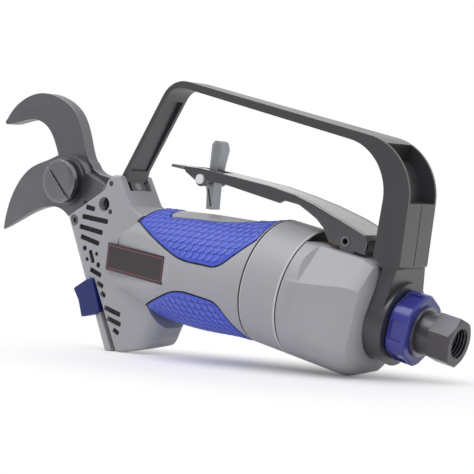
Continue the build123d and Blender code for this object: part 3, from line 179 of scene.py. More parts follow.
def merged_copy(node, name):
    """New object with a copy of a CAD node's mesh, its loose triangles joined, selected and active."""
    piece = bpy.data.objects.new(name, nodes[node].data.copy())
    bpy.context.scene.collection.objects.link(piece)
    make_active(piece)
    bpy.ops.object.mode_set(mode="EDIT")
    bpy.ops.mesh.select_all(action="SELECT")
    bpy.ops.mesh.remove_doubles(threshold=weld_distance)
    bpy.ops.object.mode_set(mode="OBJECT")
    return piece


def apply_modifier(piece, kind, **settings):
    """Adds a modifier with its settings to the active piece and applies it."""
    modifier = piece.modifiers.new(kind.lower(), kind)
    for key, value in settings.items():
        setattr(modifier, key, value)
    bpy.ops.object.modifier_apply(modifier=modifier.name)


def flat_copy(node):
    """Copy of a CAD node's mesh with one face for each of its flats, selected and active."""
    piece = merged_copy(node, node + "_eased")
    bpy.ops.object.mode_set(mode="EDIT")
    bpy.ops.mesh.select_all(action="SELECT")
    bpy.ops.mesh.dissolve_limited(angle_limit=flat_angle)
    bpy.ops.object.mode_set(mode="OBJECT")
    return piece


def ease(piece, node, body, material, width, edge=None):
    """Rounds a piece's sharp edges a little and puts it in the place of its CAD node.

    The round may have a paler finish of its own, a painted highlight along the edges together with wear.
    """
    piece.data.materials.clear()
    piece.data.materials.append(material)
    if edge:
        piece.data.materials.append(edge)
    apply_modifier(
        piece,
        "BEVEL",
        width=width,
        segments=round_segments,
        limit_method="ANGLE",
        angle_limit=crease_angle,
        material=1 if edge else -1,
    )
    bpy.ops.object.shade_smooth()
    apply_modifier(piece, "WEIGHTED_NORMAL", keep_sharp=False)
    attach(piece, body)
    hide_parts(node)


def eased(node, body, material, width, edge=None):
    """Copy of a CAD node with eased edges, in its place."""
    ease(flat_copy(node), node, body, material, width, edge)


housing_paint = surface(
    "housing_paint",
    MOULDED,
    colour=srgb(160, 161, 166),
    tint=0.04,
    grain_per_metre=housing_grain,
    clouds_per_metre=18.0,
    roughness_low=0.4,
    roughness_high=0.5,
    bump=0.12,
)
# Paler grey for the eased edges: a painted highlight along them, and paint worn thin.
housing_wear_and_highlight = surface(
    "housing_wear_and_highlight",
    MOULDED,
    colour=srgb(206, 207, 211),
    tint=0.08,
    grain_per_metre=housing_grain,
    clouds_per_metre=60.0,
    roughness_low=0.36,
    roughness_high=0.46,
    bump=0.08,
)
eased("body_housing", "frame", housing_paint, housing_edge, housing_wear_and_highlight)
eased("middle_ring", "frame", housing_paint, housing_edge, housing_wear_and_highlight)
eased("rear_cap", "frame", housing_paint, housing_edge, housing_wear_and_highlight)

# Gaskets and seals: black rubber at the two seams, round the piston, the rod and the valve.
# They are moulded rings that the metal pieces squeeze.


def coat(material, *names):
    """Gives CAD nodes one material all over."""
    for name in names:
        mesh = nodes[name].data
        mesh.materials.clear()
        mesh.materials.append(material)


# Near-black rubber; where it fills the vents it also paints the shade in them.
rubber_and_vent_shade = surface(
    "rubber_and_vent_shade",
    MOULDED,
    colour=srgb(22, 22, 24),
    tint=0.15,
    grain_per_metre=2500.0,
    roughness_low=0.55,
    roughness_high=0.75,
)
coat(rubber_and_vent_shade, "front_gasket", "rear_gasket", "piston_seal", "rod_seal", "valve_ring")

# Vent sheet: a black rubber sheet behind the near wall of the head, which keeps the cuttings out.
# Its moulded lands fill the vents to just under the wall's face; their near-black rubber there paints the
# shade deep in the vents.
tool_tilt = math.radians(13.3)
seam_place = (0.043776, 0.038234)
near_facing = -0.9
land_height = 0.0027
# Two lines that bound the lands, each as a point in the tool's axes and the angle of the way inwards
land_lines = (
    (-0.1190, -0.0023, math.radians(34.5)),
    (-0.1264, -0.0030, math.radians(-44.0)),
)

# From the tool's axes, along the cylinder from its first seam and above it, to the frame at rest
seam = Matrix.Translation((seam_place[0], 0, seam_place[1])) @ Matrix.Rotation(tool_tilt, 4, "Y")


def cut(along, above, way):
    """Cuts the piece in edit mode with a plane across the tool, through a point and facing a way."""
    bpy.ops.mesh.select_all(action="SELECT")
    bpy.ops.mesh.bisect(
        plane_co=seam @ Vector((along, 0, above)),
        plane_no=seam.to_3x3() @ Vector((way[0], 0, way[1])),
    )


def pick_near(piece, test):
    """In edit mode, selects the near faces whose middle, in the tool's axes, passes a test."""
    bpy.ops.mesh.select_all(action="DESELECT")
    bpy.ops.mesh.select_mode(type="FACE")
    bpy.ops.object.mode_set(mode="OBJECT")
    to_tool = seam.inverted()
    for face in piece.data.polygons:
        middle = to_tool @ face.center
        face.select = face.normal.y < near_facing and test(middle.x, middle.z)
    bpy.ops.object.mode_set(mode="EDIT")


def behind_lines(along, above):
    """Tells whether a place is on the inner side of both lines."""
    return all(
        (along - x) * math.cos(angle) + (above - z) * math.sin(angle) > 0 for x, z, angle in land_lines
    )


vent_shade_lands = merged_copy("vent_sheet", "vent_sheet_shade_lands")
bpy.ops.object.mode_set(mode="EDIT")
for line_along, line_above, line_angle in land_lines:
    cut(line_along, line_above, (math.cos(line_angle), math.sin(line_angle)))
pick_near(vent_shade_lands, behind_lines)
bpy.ops.mesh.extrude_region_move(TRANSFORM_OT_translate={"value": (0, -land_height, 0)})
bpy.ops.object.mode_set(mode="OBJECT")
head_wall = merged_copy("body_housing", "head_wall")
make_active(vent_shade_lands)
apply_modifier(vent_shade_lands, "BOOLEAN", operation="DIFFERENCE", solver="EXACT", object=head_wall)
bpy.data.objects.remove(head_wall)
vent_shade_lands.data.materials.clear()
vent_shade_lands.data.materials.append(rubber_and_vent_shade)
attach(vent_shade_lands, "frame")
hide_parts("vent_sheet")

# Grip pads: two blue rubber saddles let into the casting above and below the hand. A near-black rubber rim
# sunk in the groove round each paints the shade in that groove. Staggered rows of scales are moulded on
# their skin, each with its free edge to the rear and to the flank, a painted highlight along that edge and
# a painted shadow just outside it.
pad_voxel = 0.0004
pad_wall_facing = 0.6
rim_voxel = 0.0006
rim_wall_facing = 0.7
rim_spread = 0.0003
rim_sink = 0.0012
remesh_smooth = 0.5
remesh_passes = 3
scale_pitch = 0.0040
scale_row = 0.00345
scale_radius = 0.00235
scale_edge = 0.0005
scale_height = 0.00055
scale_root = 0.15
scale_free = (0.75, 0.66)
scale_free_share = 0.35
scale_shadow = 0.0006
skin_sink = 0.0006
skin_rest = 0.35
border_plain = 0.0011
border_round = 0.0009
grip_radius = 0.0265
# The grip's middle drops towards the head, by a slope and a bend for each metre
grip_drop = 0.207
grip_bend = 1.1
least_weight = 0.001
# Pad tones: the rim's level and near-black are a painted shade in the groove; the scales get a dark blue
# painted shadow and a light blue painted highlight round the rubber's own mid blue.
groove_shade_level = -1.0
skin_level = 0.5
groove_painted_shade = srgb(14, 14, 34)
scale_painted_highlight = srgb(106, 124, 230)
scale_tones_and_painted_light = ((0.4, groove_painted_shade), (0.5, srgb(24, 32, 118)), (0.75, srgb(72, 90, 204)))


def along_tool(points):
    """Points of the frame as places along the cylinder's axis, across it and above it."""
    x, z = points[:, 0] - seam_place[0], points[:, 2] - seam_place[1]
    along = x * math.cos(tool_tilt) - z * math.sin(tool_tilt)
    above = x * math.sin(tool_tilt) + z * math.cos(tool_tilt)
    return np.stack((along, points[:, 1], above), axis=1)


def push(piece, name, weights, distance):
    """Moves a piece's points along their normals by a distance times their weights."""
    group = piece.vertex_groups.new(name=name)
    for index in np.nonzero(weights > least_weight)[0]:
        group.add([int(index)], float(weights[index]), "REPLACE")
    apply_modifier(piece, "DISPLACE", strength=distance, mid_level=0.0, vertex_group=name)


def set_levels(piece, values):
    """Keeps the tone of each of a piece's points for the rubber's colour, painted highlights and shadows
    included.
    """
    levels = piece.data.attributes.new("pad_light_and_shade", "FLOAT", "POINT")
    levels.data.foreach_set("value", values)


def pad_faces(piece):
    """Points of a pad in the tool's axes, their angle above the flank, and how far they face outwards."""
    count = len(piece.data.vertices)
    points, normals = np.zeros(count * 3), np.zeros(count * 3)
    piece.data.vertices.foreach_get("co", points)
    piece.data.vertex_normals.foreach_get("vector", normals)
    points = along_tool(points.reshape(-1, 3))
    normals = along_tool(normals.reshape(-1, 3) + (seam_place[0], 0, seam_place[1]))
    middle = grip_drop * points[:, 0] + grip_bend * points[:, 0] ** 2
    height = points[:, 2] - middle
    reach = np.hypot(points[:, 1], height)
    outwards = (normals[:, 1] * points[:, 1] + normals[:, 2] * height) / reach
    return points, np.arctan2(height, np.abs(points[:, 1])), outwards


def scale_relief(along, around):
    """Height of the scales at places along the grip and around it from the flank's middle, and their tone:
    a painted highlight along each free edge and a painted shadow just outside it.

    Each scale is a disc that rises to its free edge over the next one's root.
    """
    height = np.zeros(len(along))
    shadow = np.zeros(len(along))
    light = np.zeros(len(along))
    for row_step in (0, 1):
        row = np.floor(around / scale_row) + row_step
        shift = np.where(row % 2 == 0, 0.0, scale_pitch / 2)
        up = around - row * scale_row
        for step in (0, 1):
            column = np.floor((along - shift) / scale_pitch) + step
            across = along - shift - column * scale_pitch
            to_edge = scale_radius - np.hypot(across, up)
            free = (scale_free[0] * across - scale_free[1] * np.sign(around) * up) / scale_radius
            inside = np.clip(to_edge / scale_edge + 0.5, 0, 1)
            rise = inside * np.clip(scale_root + (1 - scale_root) * (0.5 + 0.5 * free), 0, 1)
            edge = np.clip(free / scale_free_share, 0, 1)
            # Painted highlight along the free edge, and painted shadow just outside it.
            lit = edge * np.clip(1 - np.abs(to_edge - scale_edge) / scale_shadow, 0, 1)
            dark = edge * np.clip(1 - np.abs(to_edge + scale_shadow / 2) / scale_shadow, 0, 1)
            light = np.where(rise > height, lit, light)
            shadow = np.maximum(shadow, dark)
            height = np.maximum(height, rise)
    return height, skin_level + 0.5 * light - 0.5 * shadow


def remeshed(node, name, voxel):
    """Copy of a CAD node with even small faces, for moulding a relief into it."""
    piece = merged_copy(node, name)
    apply_modifier(piece, "REMESH", mode="VOXEL", voxel_size=voxel)
    apply_modifier(piece, "SMOOTH", factor=remesh_smooth, iterations=remesh_passes)
    return piece


def moulded_pad(node):
    """A pad's rubber skin with its scales and their painted highlights and shadows, joined to a near-black
    rim that paints the shade in the groove round it.
    """
    # The rim is a dark lip pushed into the groove, a painted shade where the groove lies in shadow.
    shade_rim = remeshed(node, node + "_rim", rim_voxel)
    _, _, outwards = pad_faces(shade_rim)
    push(shade_rim, "walls", (np.abs(outwards) < rim_wall_facing).astype(float), rim_spread)
    _, _, outwards = pad_faces(shade_rim)
    push(shade_rim, "skin", (outwards > rim_wall_facing).astype(float), -rim_sink)
    set_levels(shade_rim, np.full(len(shade_rim.data.vertices), groove_shade_level))

    pad = remeshed(node, node + "_rubber", pad_voxel)
    points, angle, outwards = pad_faces(pad)
    walls = np.nonzero(np.abs(outwards) < pad_wall_facing)[0]
    tree = kdtree.KDTree(len(walls))
    for index in walls:
        tree.insert(pad.data.vertices[index].co, int(index))
    tree.balance()
    skin = outwards > pad_wall_facing
    inset = np.array([tree.find(v.co)[2] if skin[v.index] else 0.0 for v in pad.data.vertices])
    heights, tones = scale_relief(points[:, 0], angle * grip_radius)
    field = skin * np.clip((inset - border_plain) / scale_edge, 0, 1)
    border = np.clip(1 - inset / border_round, 0, 1) ** 2
    push(pad, "skin", skin * (skin_rest + (1 - skin_rest) * border), -skin_sink)
    push(pad, "scales", heights * field, scale_height)
    set_levels(pad, skin_level + (tones - skin_level) * field)

    shade_rim.select_set(True)
    bpy.ops.object.join()
    pad.vertex_groups.clear()
    pad.data.materials.clear()
    pad.data.materials.append(pad_rubber)
    bpy.ops.object.shade_smooth()
    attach(pad, "frame")
    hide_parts(node)


pad_rubber = surface(
    "pad_rubber",
    MOULDED,
    tint=0.1,
    grain_per_metre=3000.0,
    roughness_low=0.42,
    roughness_high=0.55,
)
pad_tree = pad_rubber.node_tree
pad_light_and_shade = place(pad_tree, "ShaderNodeAttribute", attribute_name="pad_light_and_shade")
pad_share = place(pad_tree, "ShaderNodeMapRange", from_min=groove_shade_level, from_max=1.0)
pad_tree.links.new(pad_light_and_shade.outputs["Fac"], pad_share.inputs["Value"])
# The ramp runs from the groove's painted shade through the scales' painted shadow and the rubber's own blue
# to their painted highlight.
pad_shades = place(pad_tree, "ShaderNodeValToRGB")
pad_shades.color_ramp.elements[0].color = groove_painted_shade
pad_shades.color_ramp.elements[1].color = scale_painted_highlight
for at, colour in scale_tones_and_painted_light:
    pad_shades.color_ramp.elements.new(at).color = colour
pad_tree.links.new(pad_share.outputs["Result"], pad_shades.inputs["Fac"])
pad_finish = next(node for node in pad_tree.nodes if node.type == "GROUP")
pad_tree.links.new(pad_shades.outputs["Color"], pad_finish.inputs["Colour"])
moulded_pad("grip_pad_top")
moulded_pad("grip_pad_bottom")

# Plate on the near flank: a bare black foil with a thin dark red line round it, on a stiff backing.
# It is glued to the flat of the casting and bridges the fold between the head and the grip.
plate_size = (0.0482, 0.0133)
plate_depth = 0.0013
plate_middle = (-0.07016, -0.01884, -0.01006)
plate_slope = math.atan(0.2554)
plate_turn = math.radians(6.7)
plate_margin = 0.0009
plate_line = 0.0005
plate_edge = 0.0002
plate_segments = 2
plate_corner = math.radians(60)
plate_smooth = math.radians(30)
plate_finish = {"tint": 0.12, "roughness_low": 0.42, "roughness_high": 0.52, "bump": 0.05}

bpy.ops.object.select_all(action="DESELECT")
bpy.ops.mesh.primitive_plane_add(size=1.0)
plate = bpy.context.active_object
plate.name = "flank_plate"
plate.matrix_world = (
    seam
    @ Matrix.Translation(plate_middle)
    @ Matrix.Rotation(-plate_slope, 4, "Z")
    @ Matrix.Rotation(-plate_turn, 4, "Y")
    @ Matrix.Rotation(math.pi / 2, 4, "X")
    @ Matrix.Diagonal((*plate_size, 1, 1))
)
bpy.ops.object.transform_apply(location=True, rotation=True, scale=True)
plate.data.materials.append(surface("plate_foil", MOULDED, colour=srgb(36, 29, 33), **plate_finish))
plate.data.materials.append(surface("plate_red", MOULDED, colour=srgb(118, 54, 72), **plate_finish))
bpy.ops.object.mode_set(mode="EDIT")
bpy.ops.mesh.select_all(action="SELECT")
for inset_width, inset_material in ((plate_margin, 1), (plate_line, 0)):
    bpy.ops.mesh.inset(thickness=inset_width)
    plate.active_material_index = inset_material
    bpy.ops.object.material_slot_assign()
bpy.ops.object.mode_set(mode="OBJECT")
apply_modifier(plate, "SOLIDIFY", thickness=plate_depth, offset=-1.0)
apply_modifier(
    plate,
    "BEVEL",
    width=plate_edge,
    segments=plate_segments,
    limit_method="ANGLE",
    angle_limit=plate_corner,
)
bpy.ops.object.shade_smooth_by_angle(angle=plate_smooth)
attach(plate, "frame")

# Blades: a fixed hook, screwed into the head's groove, and a swinging blade on the pivot bolt.
# Both are dark hardened steel. Their flats keep the long marks of the grinding wheel.
blade_edge = 0.00035


def ground_group():
    """Long fine marks along X, as a grinding wheel or a brush leaves them, over faint clouds."""
    group, start, end = finish_group(
        "ground",
        colour=(0.2, 0.2, 0.2, 1.0),
        tint=0.15,
        marks_per_metre=2500.0,
        stretch=0.03,
        roughness_low=0.3,
        roughness_high=0.45,
    )
    links = group.links
    where = place(group, "ShaderNodeTexCoord")
    squeeze = place(group, "ShaderNodeCombineXYZ", y=1.0, z=1.0)
    links.new(start.outputs["Stretch"], squeeze.inputs["X"])
    long_marks = place(group, "ShaderNodeVectorMath", operation="MULTIPLY")
    links.new(where.outputs["Object"], long_marks.inputs[0])
    links.new(squeeze.outputs[0], long_marks.inputs[1])
    marks = place(group, "ShaderNodeTexNoise", detail=4.0, roughness=0.65)
    links.new(long_marks.outputs[0], marks.inputs["Vector"])
    links.new(start.outputs["Marks Per Metre"], marks.inputs["Scale"])
    clouds = place(group, "ShaderNodeTexNoise", scale=60.0, detail=3.0)
    links.new(where.outputs["Object"], clouds.inputs["Vector"])
    gloss = place(group, "ShaderNodeMapRange", from_min=0.3, from_max=0.7)
    links.new(marks.outputs["Fac"], gloss.inputs["Value"])
    end_finish(group, start, end, marks, clouds, gloss)
    return group


GROUND = ground_group()
blade_steel = surface(
    "blade_steel",
    GROUND,
    colour=srgb(114, 115, 119),
    tint=0.12,
    roughness_low=0.32,
    roughness_high=0.46,
    bump=0.1,
    metallic=0.85,
)
# Paler steel for eased edges: a painted highlight along them, together with wear.
steel_wear_and_highlight = surface(
    "blade_wear_and_highlight",
    GROUND,
    colour=srgb(168, 169, 172),
    tint=0.2,
    roughness_low=0.28,
    roughness_high=0.4,
    metallic=0.9,
)
# Their eased edges take the paler steel, a painted highlight with wear.
eased("hook_blade", "frame", blade_steel, blade_edge, steel_wear_and_highlight)
eased("cutting_blade", "blade", blade_steel, blade_edge, steel_wear_and_highlight)

# Fasteners: the pivot bolt, its washer and nut, the screws, the lever's pin and the collar's clip.
# They are turned from blackened steel. The bolt's head has paler eased edges, a painted highlight together
# with wear.
bolt_edge = 0.0004

fastener_steel = surface(
    "fastener_steel",
    MOULDED,
    colour=srgb(126, 126, 130),
    tint=0.15,
    roughness_low=0.3,
    roughness_high=0.42,
    metallic=0.9,
)
coat(
    fastener_steel,
    "hook_screws",
    "pivot_washer",
    "pivot_nut",
    "nose_screw",
    "lever_pin",
    "guard_screw",
    "collar_clip",
)
eased("pivot_bolt", "frame", fastener_steel, bolt_edge, steel_wear_and_highlight)

# Stop pad: a blue block of smooth plastic, moulded in one piece.
# It is clipped into the front of the head, beside the groove.
stop_edge = 0.0005

stop_plastic = surface(
    "stop_plastic",
    MOULDED,
    colour=srgb(14, 28, 100),
    tint=0.06,
    roughness_low=0.25,
    roughness_high=0.35,
    bump=0.05,
)
eased("stop_pad", "frame", stop_plastic, stop_edge)

# Trigger lever: a channel folded from sheet steel, which turns on a pin at its rear end.
# It is dark and lacquered, so that its top mirrors the light above it.
lever_edge = 0.0003

lever_finish = surface(
    "lever_finish",
    GROUND,
    colour=srgb(88, 88, 92),
    tint=0.06,
    roughness_low=0.18,
    roughness_high=0.26,
    bump=0.03,
    metallic=0.9,
    lacquer=(0.7, 0.22),
)
# Its eased edges take the paler steel, a painted highlight with wear.
eased("trigger_lever", "lever", lever_finish, lever_edge, steel_wear_and_highlight)

# Safety latch: a bare steel tab that stands up out of the lever and turns on a pin.
# Its thumb face is dished, and a slit is pressed across its leg.
latch_edge = 0.00025
thumb_from = 0.0406
thumb_rim = 0.0006
thumb_dish = 0.0006
slit_top = (-0.0470, 0.0325)
slit_bottom = (-0.0436, 0.0245)
slit_half = 0.00035
slit_depth = 0.0018
upwards = (0, 1)

latch_steel = surface(
    "latch_steel",
    GROUND,
    colour=srgb(150, 154, 158),
    tint=0.1,
    roughness_low=0.3,
    roughness_high=0.42,
    metallic=0.8,
)
slit_way = Vector((slit_bottom[0] - slit_top[0], slit_bottom[1] - slit_top[1])).normalized()
slit_side = Vector((-slit_way.y, slit_way.x))


def in_slit(along, above):
    """Tells whether a place is between the slit's two sides and its two ends."""
    aside = (along - slit_top[0]) * slit_side.x + (above - slit_top[1]) * slit_side.y
    return slit_bottom[1] < above < slit_top[1] and abs(aside) < slit_half


latch = flat_copy("safety_latch")
bpy.ops.object.mode_set(mode="EDIT")
cut(0, thumb_from, upwards)
pick_near(latch, lambda along, above: above > thumb_from)
bpy.ops.mesh.inset(thickness=thumb_rim, depth=-thumb_dish)
cut(*slit_top, upwards)
cut(*slit_bottom, upwards)
for aside in (-slit_half, slit_half):
    cut(slit_top[0] + aside * slit_side.x, slit_top[1] + aside * slit_side.y, slit_side)
pick_near(latch, in_slit)
bpy.ops.mesh.extrude_region_move(TRANSFORM_OT_translate={"value": (0, slit_depth, 0)})
bpy.ops.object.mode_set(mode="OBJECT")
# Its eased edges take the paler steel, a painted highlight with wear.
ease(latch, "safety_latch", "latch", latch_steel, latch_edge, steel_wear_and_highlight)

# Latch pin and piston rod: ground and polished steel. Its near-white base, only partly metal, paints in a
# bright reflection.
# The pin is headed over in the lever's cheeks, and the rod is stepped for the yoke and the piston.
bright_steel = surface(
    "bright_steel",
    MOULDED,
    colour=srgb(246, 246, 250),
    tint=0.05,
    roughness_low=0.12,
    roughness_high=0.2,
    bump=0.03,
    metallic=0.4,
)
coat(bright_steel, "latch_pin", "piston_rod")

# Springs: round steel wire, wound cold, with closed ends. One turns the latch back on its pin, one pushes
# the piston back and one lifts the valve's plunger. The last two are squeezed along their axes.
coil_steps = 40
wire_sides = 10
latch_coil_radius = 0.00205
latch_wire_radius = 0.00035
latch_turns = 3
latch_coil_from = 0.0034
latch_coil_length = 0.0028
latch_pin_place = (-0.0485, 0.0364)
return_coil_radius = 0.0115
return_wire_radius = 0.0015
return_turns = 6
return_from = -0.035
return_length = 0.039
valve_coil_radius = 0.0039
valve_wire_radius = 0.0005
valve_turns = 5
valve_from = -0.008
valve_length = 0.009
valve_axis_at = 0.0265

spring_wire = surface(
    "spring_wire",
    GROUND,
    colour=srgb(170, 170, 174),
    roughness_low=0.25,
    roughness_high=0.4,
    metallic=1.0,
)


def wound(name, coil_radius, wire_radius, sides, pitch, turns, lay):
    """A wire wound round the Z axis from z 0 upwards, and then laid where it belongs. Its ends are closed."""
    bpy.ops.object.select_all(action="DESELECT")
    bpy.ops.mesh.primitive_circle_add(vertices=sides, radius=wire_radius, location=(coil_radius, 0, 0))
    piece = bpy.context.active_object
    piece.name = name
    bpy.ops.object.transform_apply(location=True, rotation=True, scale=True)
    bpy.ops.object.mode_set(mode="EDIT")
    bpy.ops.mesh.select_all(action="SELECT")
    bpy.ops.transform.rotate(value=math.pi / 2, orient_axis="X", center_override=(coil_radius, 0, 0))
    bpy.ops.object.mode_set(mode="OBJECT")
    apply_modifier(
        piece,
        "SCREW",
        axis="Z",
        angle=2 * math.pi,
        screw_offset=pitch,
        iterations=turns,
        steps=coil_steps,
        render_steps=coil_steps,
        use_merge_vertices=True,
    )
    piece.matrix_world = lay
    bpy.ops.object.transform_apply(location=True, rotation=True, scale=True)
    bpy.ops.object.mode_set(mode="EDIT")
    bpy.ops.mesh.select_all(action="SELECT")
    bpy.ops.mesh.fill_holes(sides=sides + 2)
    bpy.ops.mesh.normals_make_consistent(inside=False)
    bpy.ops.object.mode_set(mode="OBJECT")
    bpy.ops.object.shade_smooth()
    return piece


def spring(node, body, coil_radius, wire_radius, turns, length, lay):
    """A spring of round wire, as long as the CAD sleeve that it stands for."""
    pitch = (length - 2 * wire_radius) / turns
    piece = wound(node + "_coil", coil_radius, wire_radius, wire_sides, pitch, turns, lay)
    piece.data.materials.append(spring_wire)
    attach(piece, body)
    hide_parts(node)
    return piece


latch_lay = (
    seam
    @ Matrix.Translation((latch_pin_place[0], latch_coil_from + latch_wire_radius, latch_pin_place[1]))
    @ Matrix.Rotation(-math.pi / 2, 4, "X")
)
spring(
    "latch_spring",
    "lever",
    latch_coil_radius,
    latch_wire_radius,
    latch_turns,
    latch_coil_length,
    latch_lay,
)

return_lay = (
    seam
    @ Matrix.Translation((return_from + return_wire_radius, 0, 0))
    @ Matrix.Rotation(math.pi / 2, 4, "Y")
)
return_coil = spring(
    "return_spring",
    "frame",
    return_coil_radius,
    return_wire_radius,
    return_turns,
    return_length,
    return_lay,
)
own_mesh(return_coil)

valve_lay = seam @ Matrix.Translation((valve_axis_at, 0, valve_from + valve_wire_radius))
valve_coil = spring(
    "valve_spring",
    "frame",
    valve_coil_radius,
    valve_wire_radius,
    valve_turns,
    valve_length,
    valve_lay,
)
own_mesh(valve_coil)

# Drive: the yoke on the rod's front end, the pin and roller in the blade's tail and the piston's nut.
# They are milled and turned from steel and left bare.
drive_steel = surface(
    "drive_steel",
    GROUND,
    colour=srgb(150, 150, 154),
    roughness_low=0.25,
    roughness_high=0.4,
    metallic=1.0,
)
coat(drive_steel, "yoke", "tail_pin", "tail_roller", "rod_nut")

# Cylinder: the liner, held between the grip and the rear cap, and the piston that runs in it.
# Both are turned from aluminium, and the housing hides them.
turned_aluminium = surface(
    "turned_aluminium",
    GROUND,
    colour=srgb(205, 206, 210),
    roughness_low=0.25,
    roughness_high=0.4,
    metallic=1.0,
)
coat(turned_aluminium, "cylinder_liner", "piston")

# Bearing bronze: the rod's bush, the valve's bush and the valve's plunger.
# They are turned from bar. One bush is pressed into the housing and the other into the rear cap.
bearing_bronze = surface(
    "bearing_bronze",
    MOULDED,
    colour=srgb(196, 158, 96),
    roughness_low=0.25,
    roughness_high=0.4,
    metallic=1.0,
)
coat(bearing_bronze, "rod_bush", "valve_bush", "valve_plunger")

# Hand guard: black glass-filled nylon, moulded in one piece from the head's lug to the ring at the inlet.
# Its skin has a faint satin grain. Its eased edges take a lighter grey: a painted highlight, which also lifts
# the shade along the channel's edges, together with wear.
guard_edge = 0.0005
guard_grain = 2200.0

guard_nylon = surface(
    "guard_nylon",
    MOULDED,
    colour=srgb(52, 52, 56),
    tint=0.08,
    grain_per_metre=guard_grain,
    roughness_low=0.34,
    roughness_high=0.44,
    bump=0.1,
    lacquer=(0.5, 0.38),
)
guard_wear_and_highlight = surface(
    "guard_wear_and_highlight",
    MOULDED,
    colour=srgb(104, 104, 108),
    tint=0.12,
    grain_per_metre=guard_grain,
    roughness_low=0.32,
    roughness_high=0.42,
    bump=0.05,
)
eased("hand_guard", "frame", guard_nylon, guard_edge, guard_wear_and_highlight)

# Exhaust collar: a turned aluminium ring with flats, anodised deep blue.
# It turns on the inlet's journal between the guard's ring and a clip.
collar_edge = 0.0004

collar_blue = surface(
    "collar_blue",
    MOULDED,
    colour=srgb(56, 58, 140),
    tint=0.06,
    roughness_low=0.14,
    roughness_high=0.22,
    bump=0.04,
)
eased("exhaust_collar", "collar", collar_blue, collar_edge)

# Air inlet: a dark gunmetal fitting with a hexagon and a threaded mouth.
# It is turned from hexagon bar and screwed into the rear cap.
inlet_edge = 0.0003

inlet_metal = surface(
    "inlet_metal",
    GROUND,
    colour=srgb(84, 82, 87),
    tint=0.1,
    roughness_low=0.28,
    roughness_high=0.4,
    metallic=0.85,
)
eased("inlet_fitting", "frame", inlet_metal, inlet_edge)

# Thread in the inlet's mouth: the rounded ridges of a quarter inch pipe thread.
# On the real fitting they are cut into the bore. Here one ridge is wound along it.
thread_radius = 0.00655
thread_ridge = 0.0006
thread_sides = 6
thread_pitch = 0.001337
thread_turns = 8
mouth_from_seam = 0.0944
thread_inset = 0.0004

thread_start = mouth_from_seam - thread_inset - thread_turns * thread_pitch
thread_lay = seam @ Matrix.Translation((thread_start, 0, 0)) @ Matrix.Rotation(math.pi / 2, 4, "Y")
thread = wound(
    "inlet_thread", thread_radius, thread_ridge, thread_sides, thread_pitch, thread_turns, thread_lay
)
thread.data.materials.append(inlet_metal)
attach(thread, "frame")

# Stage: a pale paper floor under the tool, which is no piece of it.
# It keeps the soft shadow in an oval near the tool and fades to white further out.
floor_size = 6.0
floor_colour = (0.86, 0.845, 0.87, 1.0)
floor_roughness = 0.9
white = (1, 1, 1, 1)
shadow_middle = (0.05, -0.035, 0)
shadow_reach = (0.2, 0.06, 1)
shadow_lift = 0.02
shadow_from = 0.3
white_from = 1.1

bpy.ops.object.select_all(action="DESELECT")
bpy.ops.mesh.primitive_plane_add(size=floor_size, location=(0, 0, 0))
floor = bpy.context.active_object
floor.name = "floor"
floor_paper = bpy.data.materials.new("floor_paper")
floor_paper.use_nodes = True
floor_tree = floor_paper.node_tree
floor_links = floor_tree.links
floor_shader = floor_tree.nodes["Principled BSDF"]
floor_shader.inputs["Base Color"].default_value = floor_colour
floor_shader.inputs["Roughness"].default_value = floor_roughness
floor_shader.inputs["Specular IOR Level"].default_value = 0.0
floor_where = place(floor_tree, "ShaderNodeTexCoord")
floor_centre = place(floor_tree, "ShaderNodeVectorMath", operation="SUBTRACT")
floor_centre.inputs[1].default_value = shadow_middle
floor_links.new(floor_where.outputs["Object"], floor_centre.inputs[0])
floor_oval = place(floor_tree, "ShaderNodeVectorMath", operation="DIVIDE")
floor_oval.inputs[1].default_value = shadow_reach
floor_links.new(floor_centre.outputs[0], floor_oval.inputs[0])
floor_distance = place(floor_tree, "ShaderNodeVectorMath", operation="LENGTH")
floor_links.new(floor_oval.outputs[0], floor_distance.inputs[0])
floor_fade = place(
    floor_tree,
    "ShaderNodeMapRange",
    from_min=shadow_from,
    from_max=white_from,
    to_min=shadow_lift,
    interpolation_type="SMOOTHSTEP",
)
floor_links.new(floor_distance.outputs["Value"], floor_fade.inputs["Value"])
floor_rays = place(floor_tree, "ShaderNodeLightPath")
floor_seen = place(floor_tree, "ShaderNodeMath", operation="MAXIMUM")
floor_links.new(floor_rays.outputs["Is Camera Ray"], floor_seen.inputs[0])
floor_links.new(floor_rays.outputs["Is Glossy Ray"], floor_seen.inputs[1])
floor_factor = place(floor_tree, "ShaderNodeMath", operation="MULTIPLY")
floor_links.new(floor_fade.outputs["Result"], floor_factor.inputs[0])
floor_links.new(floor_seen.outputs[0], floor_factor.inputs[1])
floor_white = place(floor_tree, "ShaderNodeEmission", color=white, strength=1.0)
floor_mix = place(floor_tree, "ShaderNodeMixShader")
floor_links.new(floor_factor.outputs[0], floor_mix.inputs["Fac"])
floor_links.new(floor_shader.outputs[0], floor_mix.inputs[1])
floor_links.new(floor_white.outputs[0], floor_mix.inputs[2])
floor_links.new(floor_mix.outputs[0], floor_tree.nodes["Material Output"].inputs["Surface"])
floor.data.materials.append(floor_paper)

# Light: a white tent that is brightest overhead and dimmer low down, and one very large soft lamp above.
# Polished pieces mirror the white behind the tool and a darker room on the near side.
tent_low = 0.28
tent_high = 0.75
tent_heights = (-0.1, 0.9)
mirror_high = 1.0
mirror_low = 0.3
mirror_sides = (0.1, 0.8)
room_side = (0.15, -0.97, -0.2)
lamp_level = 1.75
lamp_width = math.radians(55)
lamp_tilt = (math.radians(18), math.radians(-10), 0)

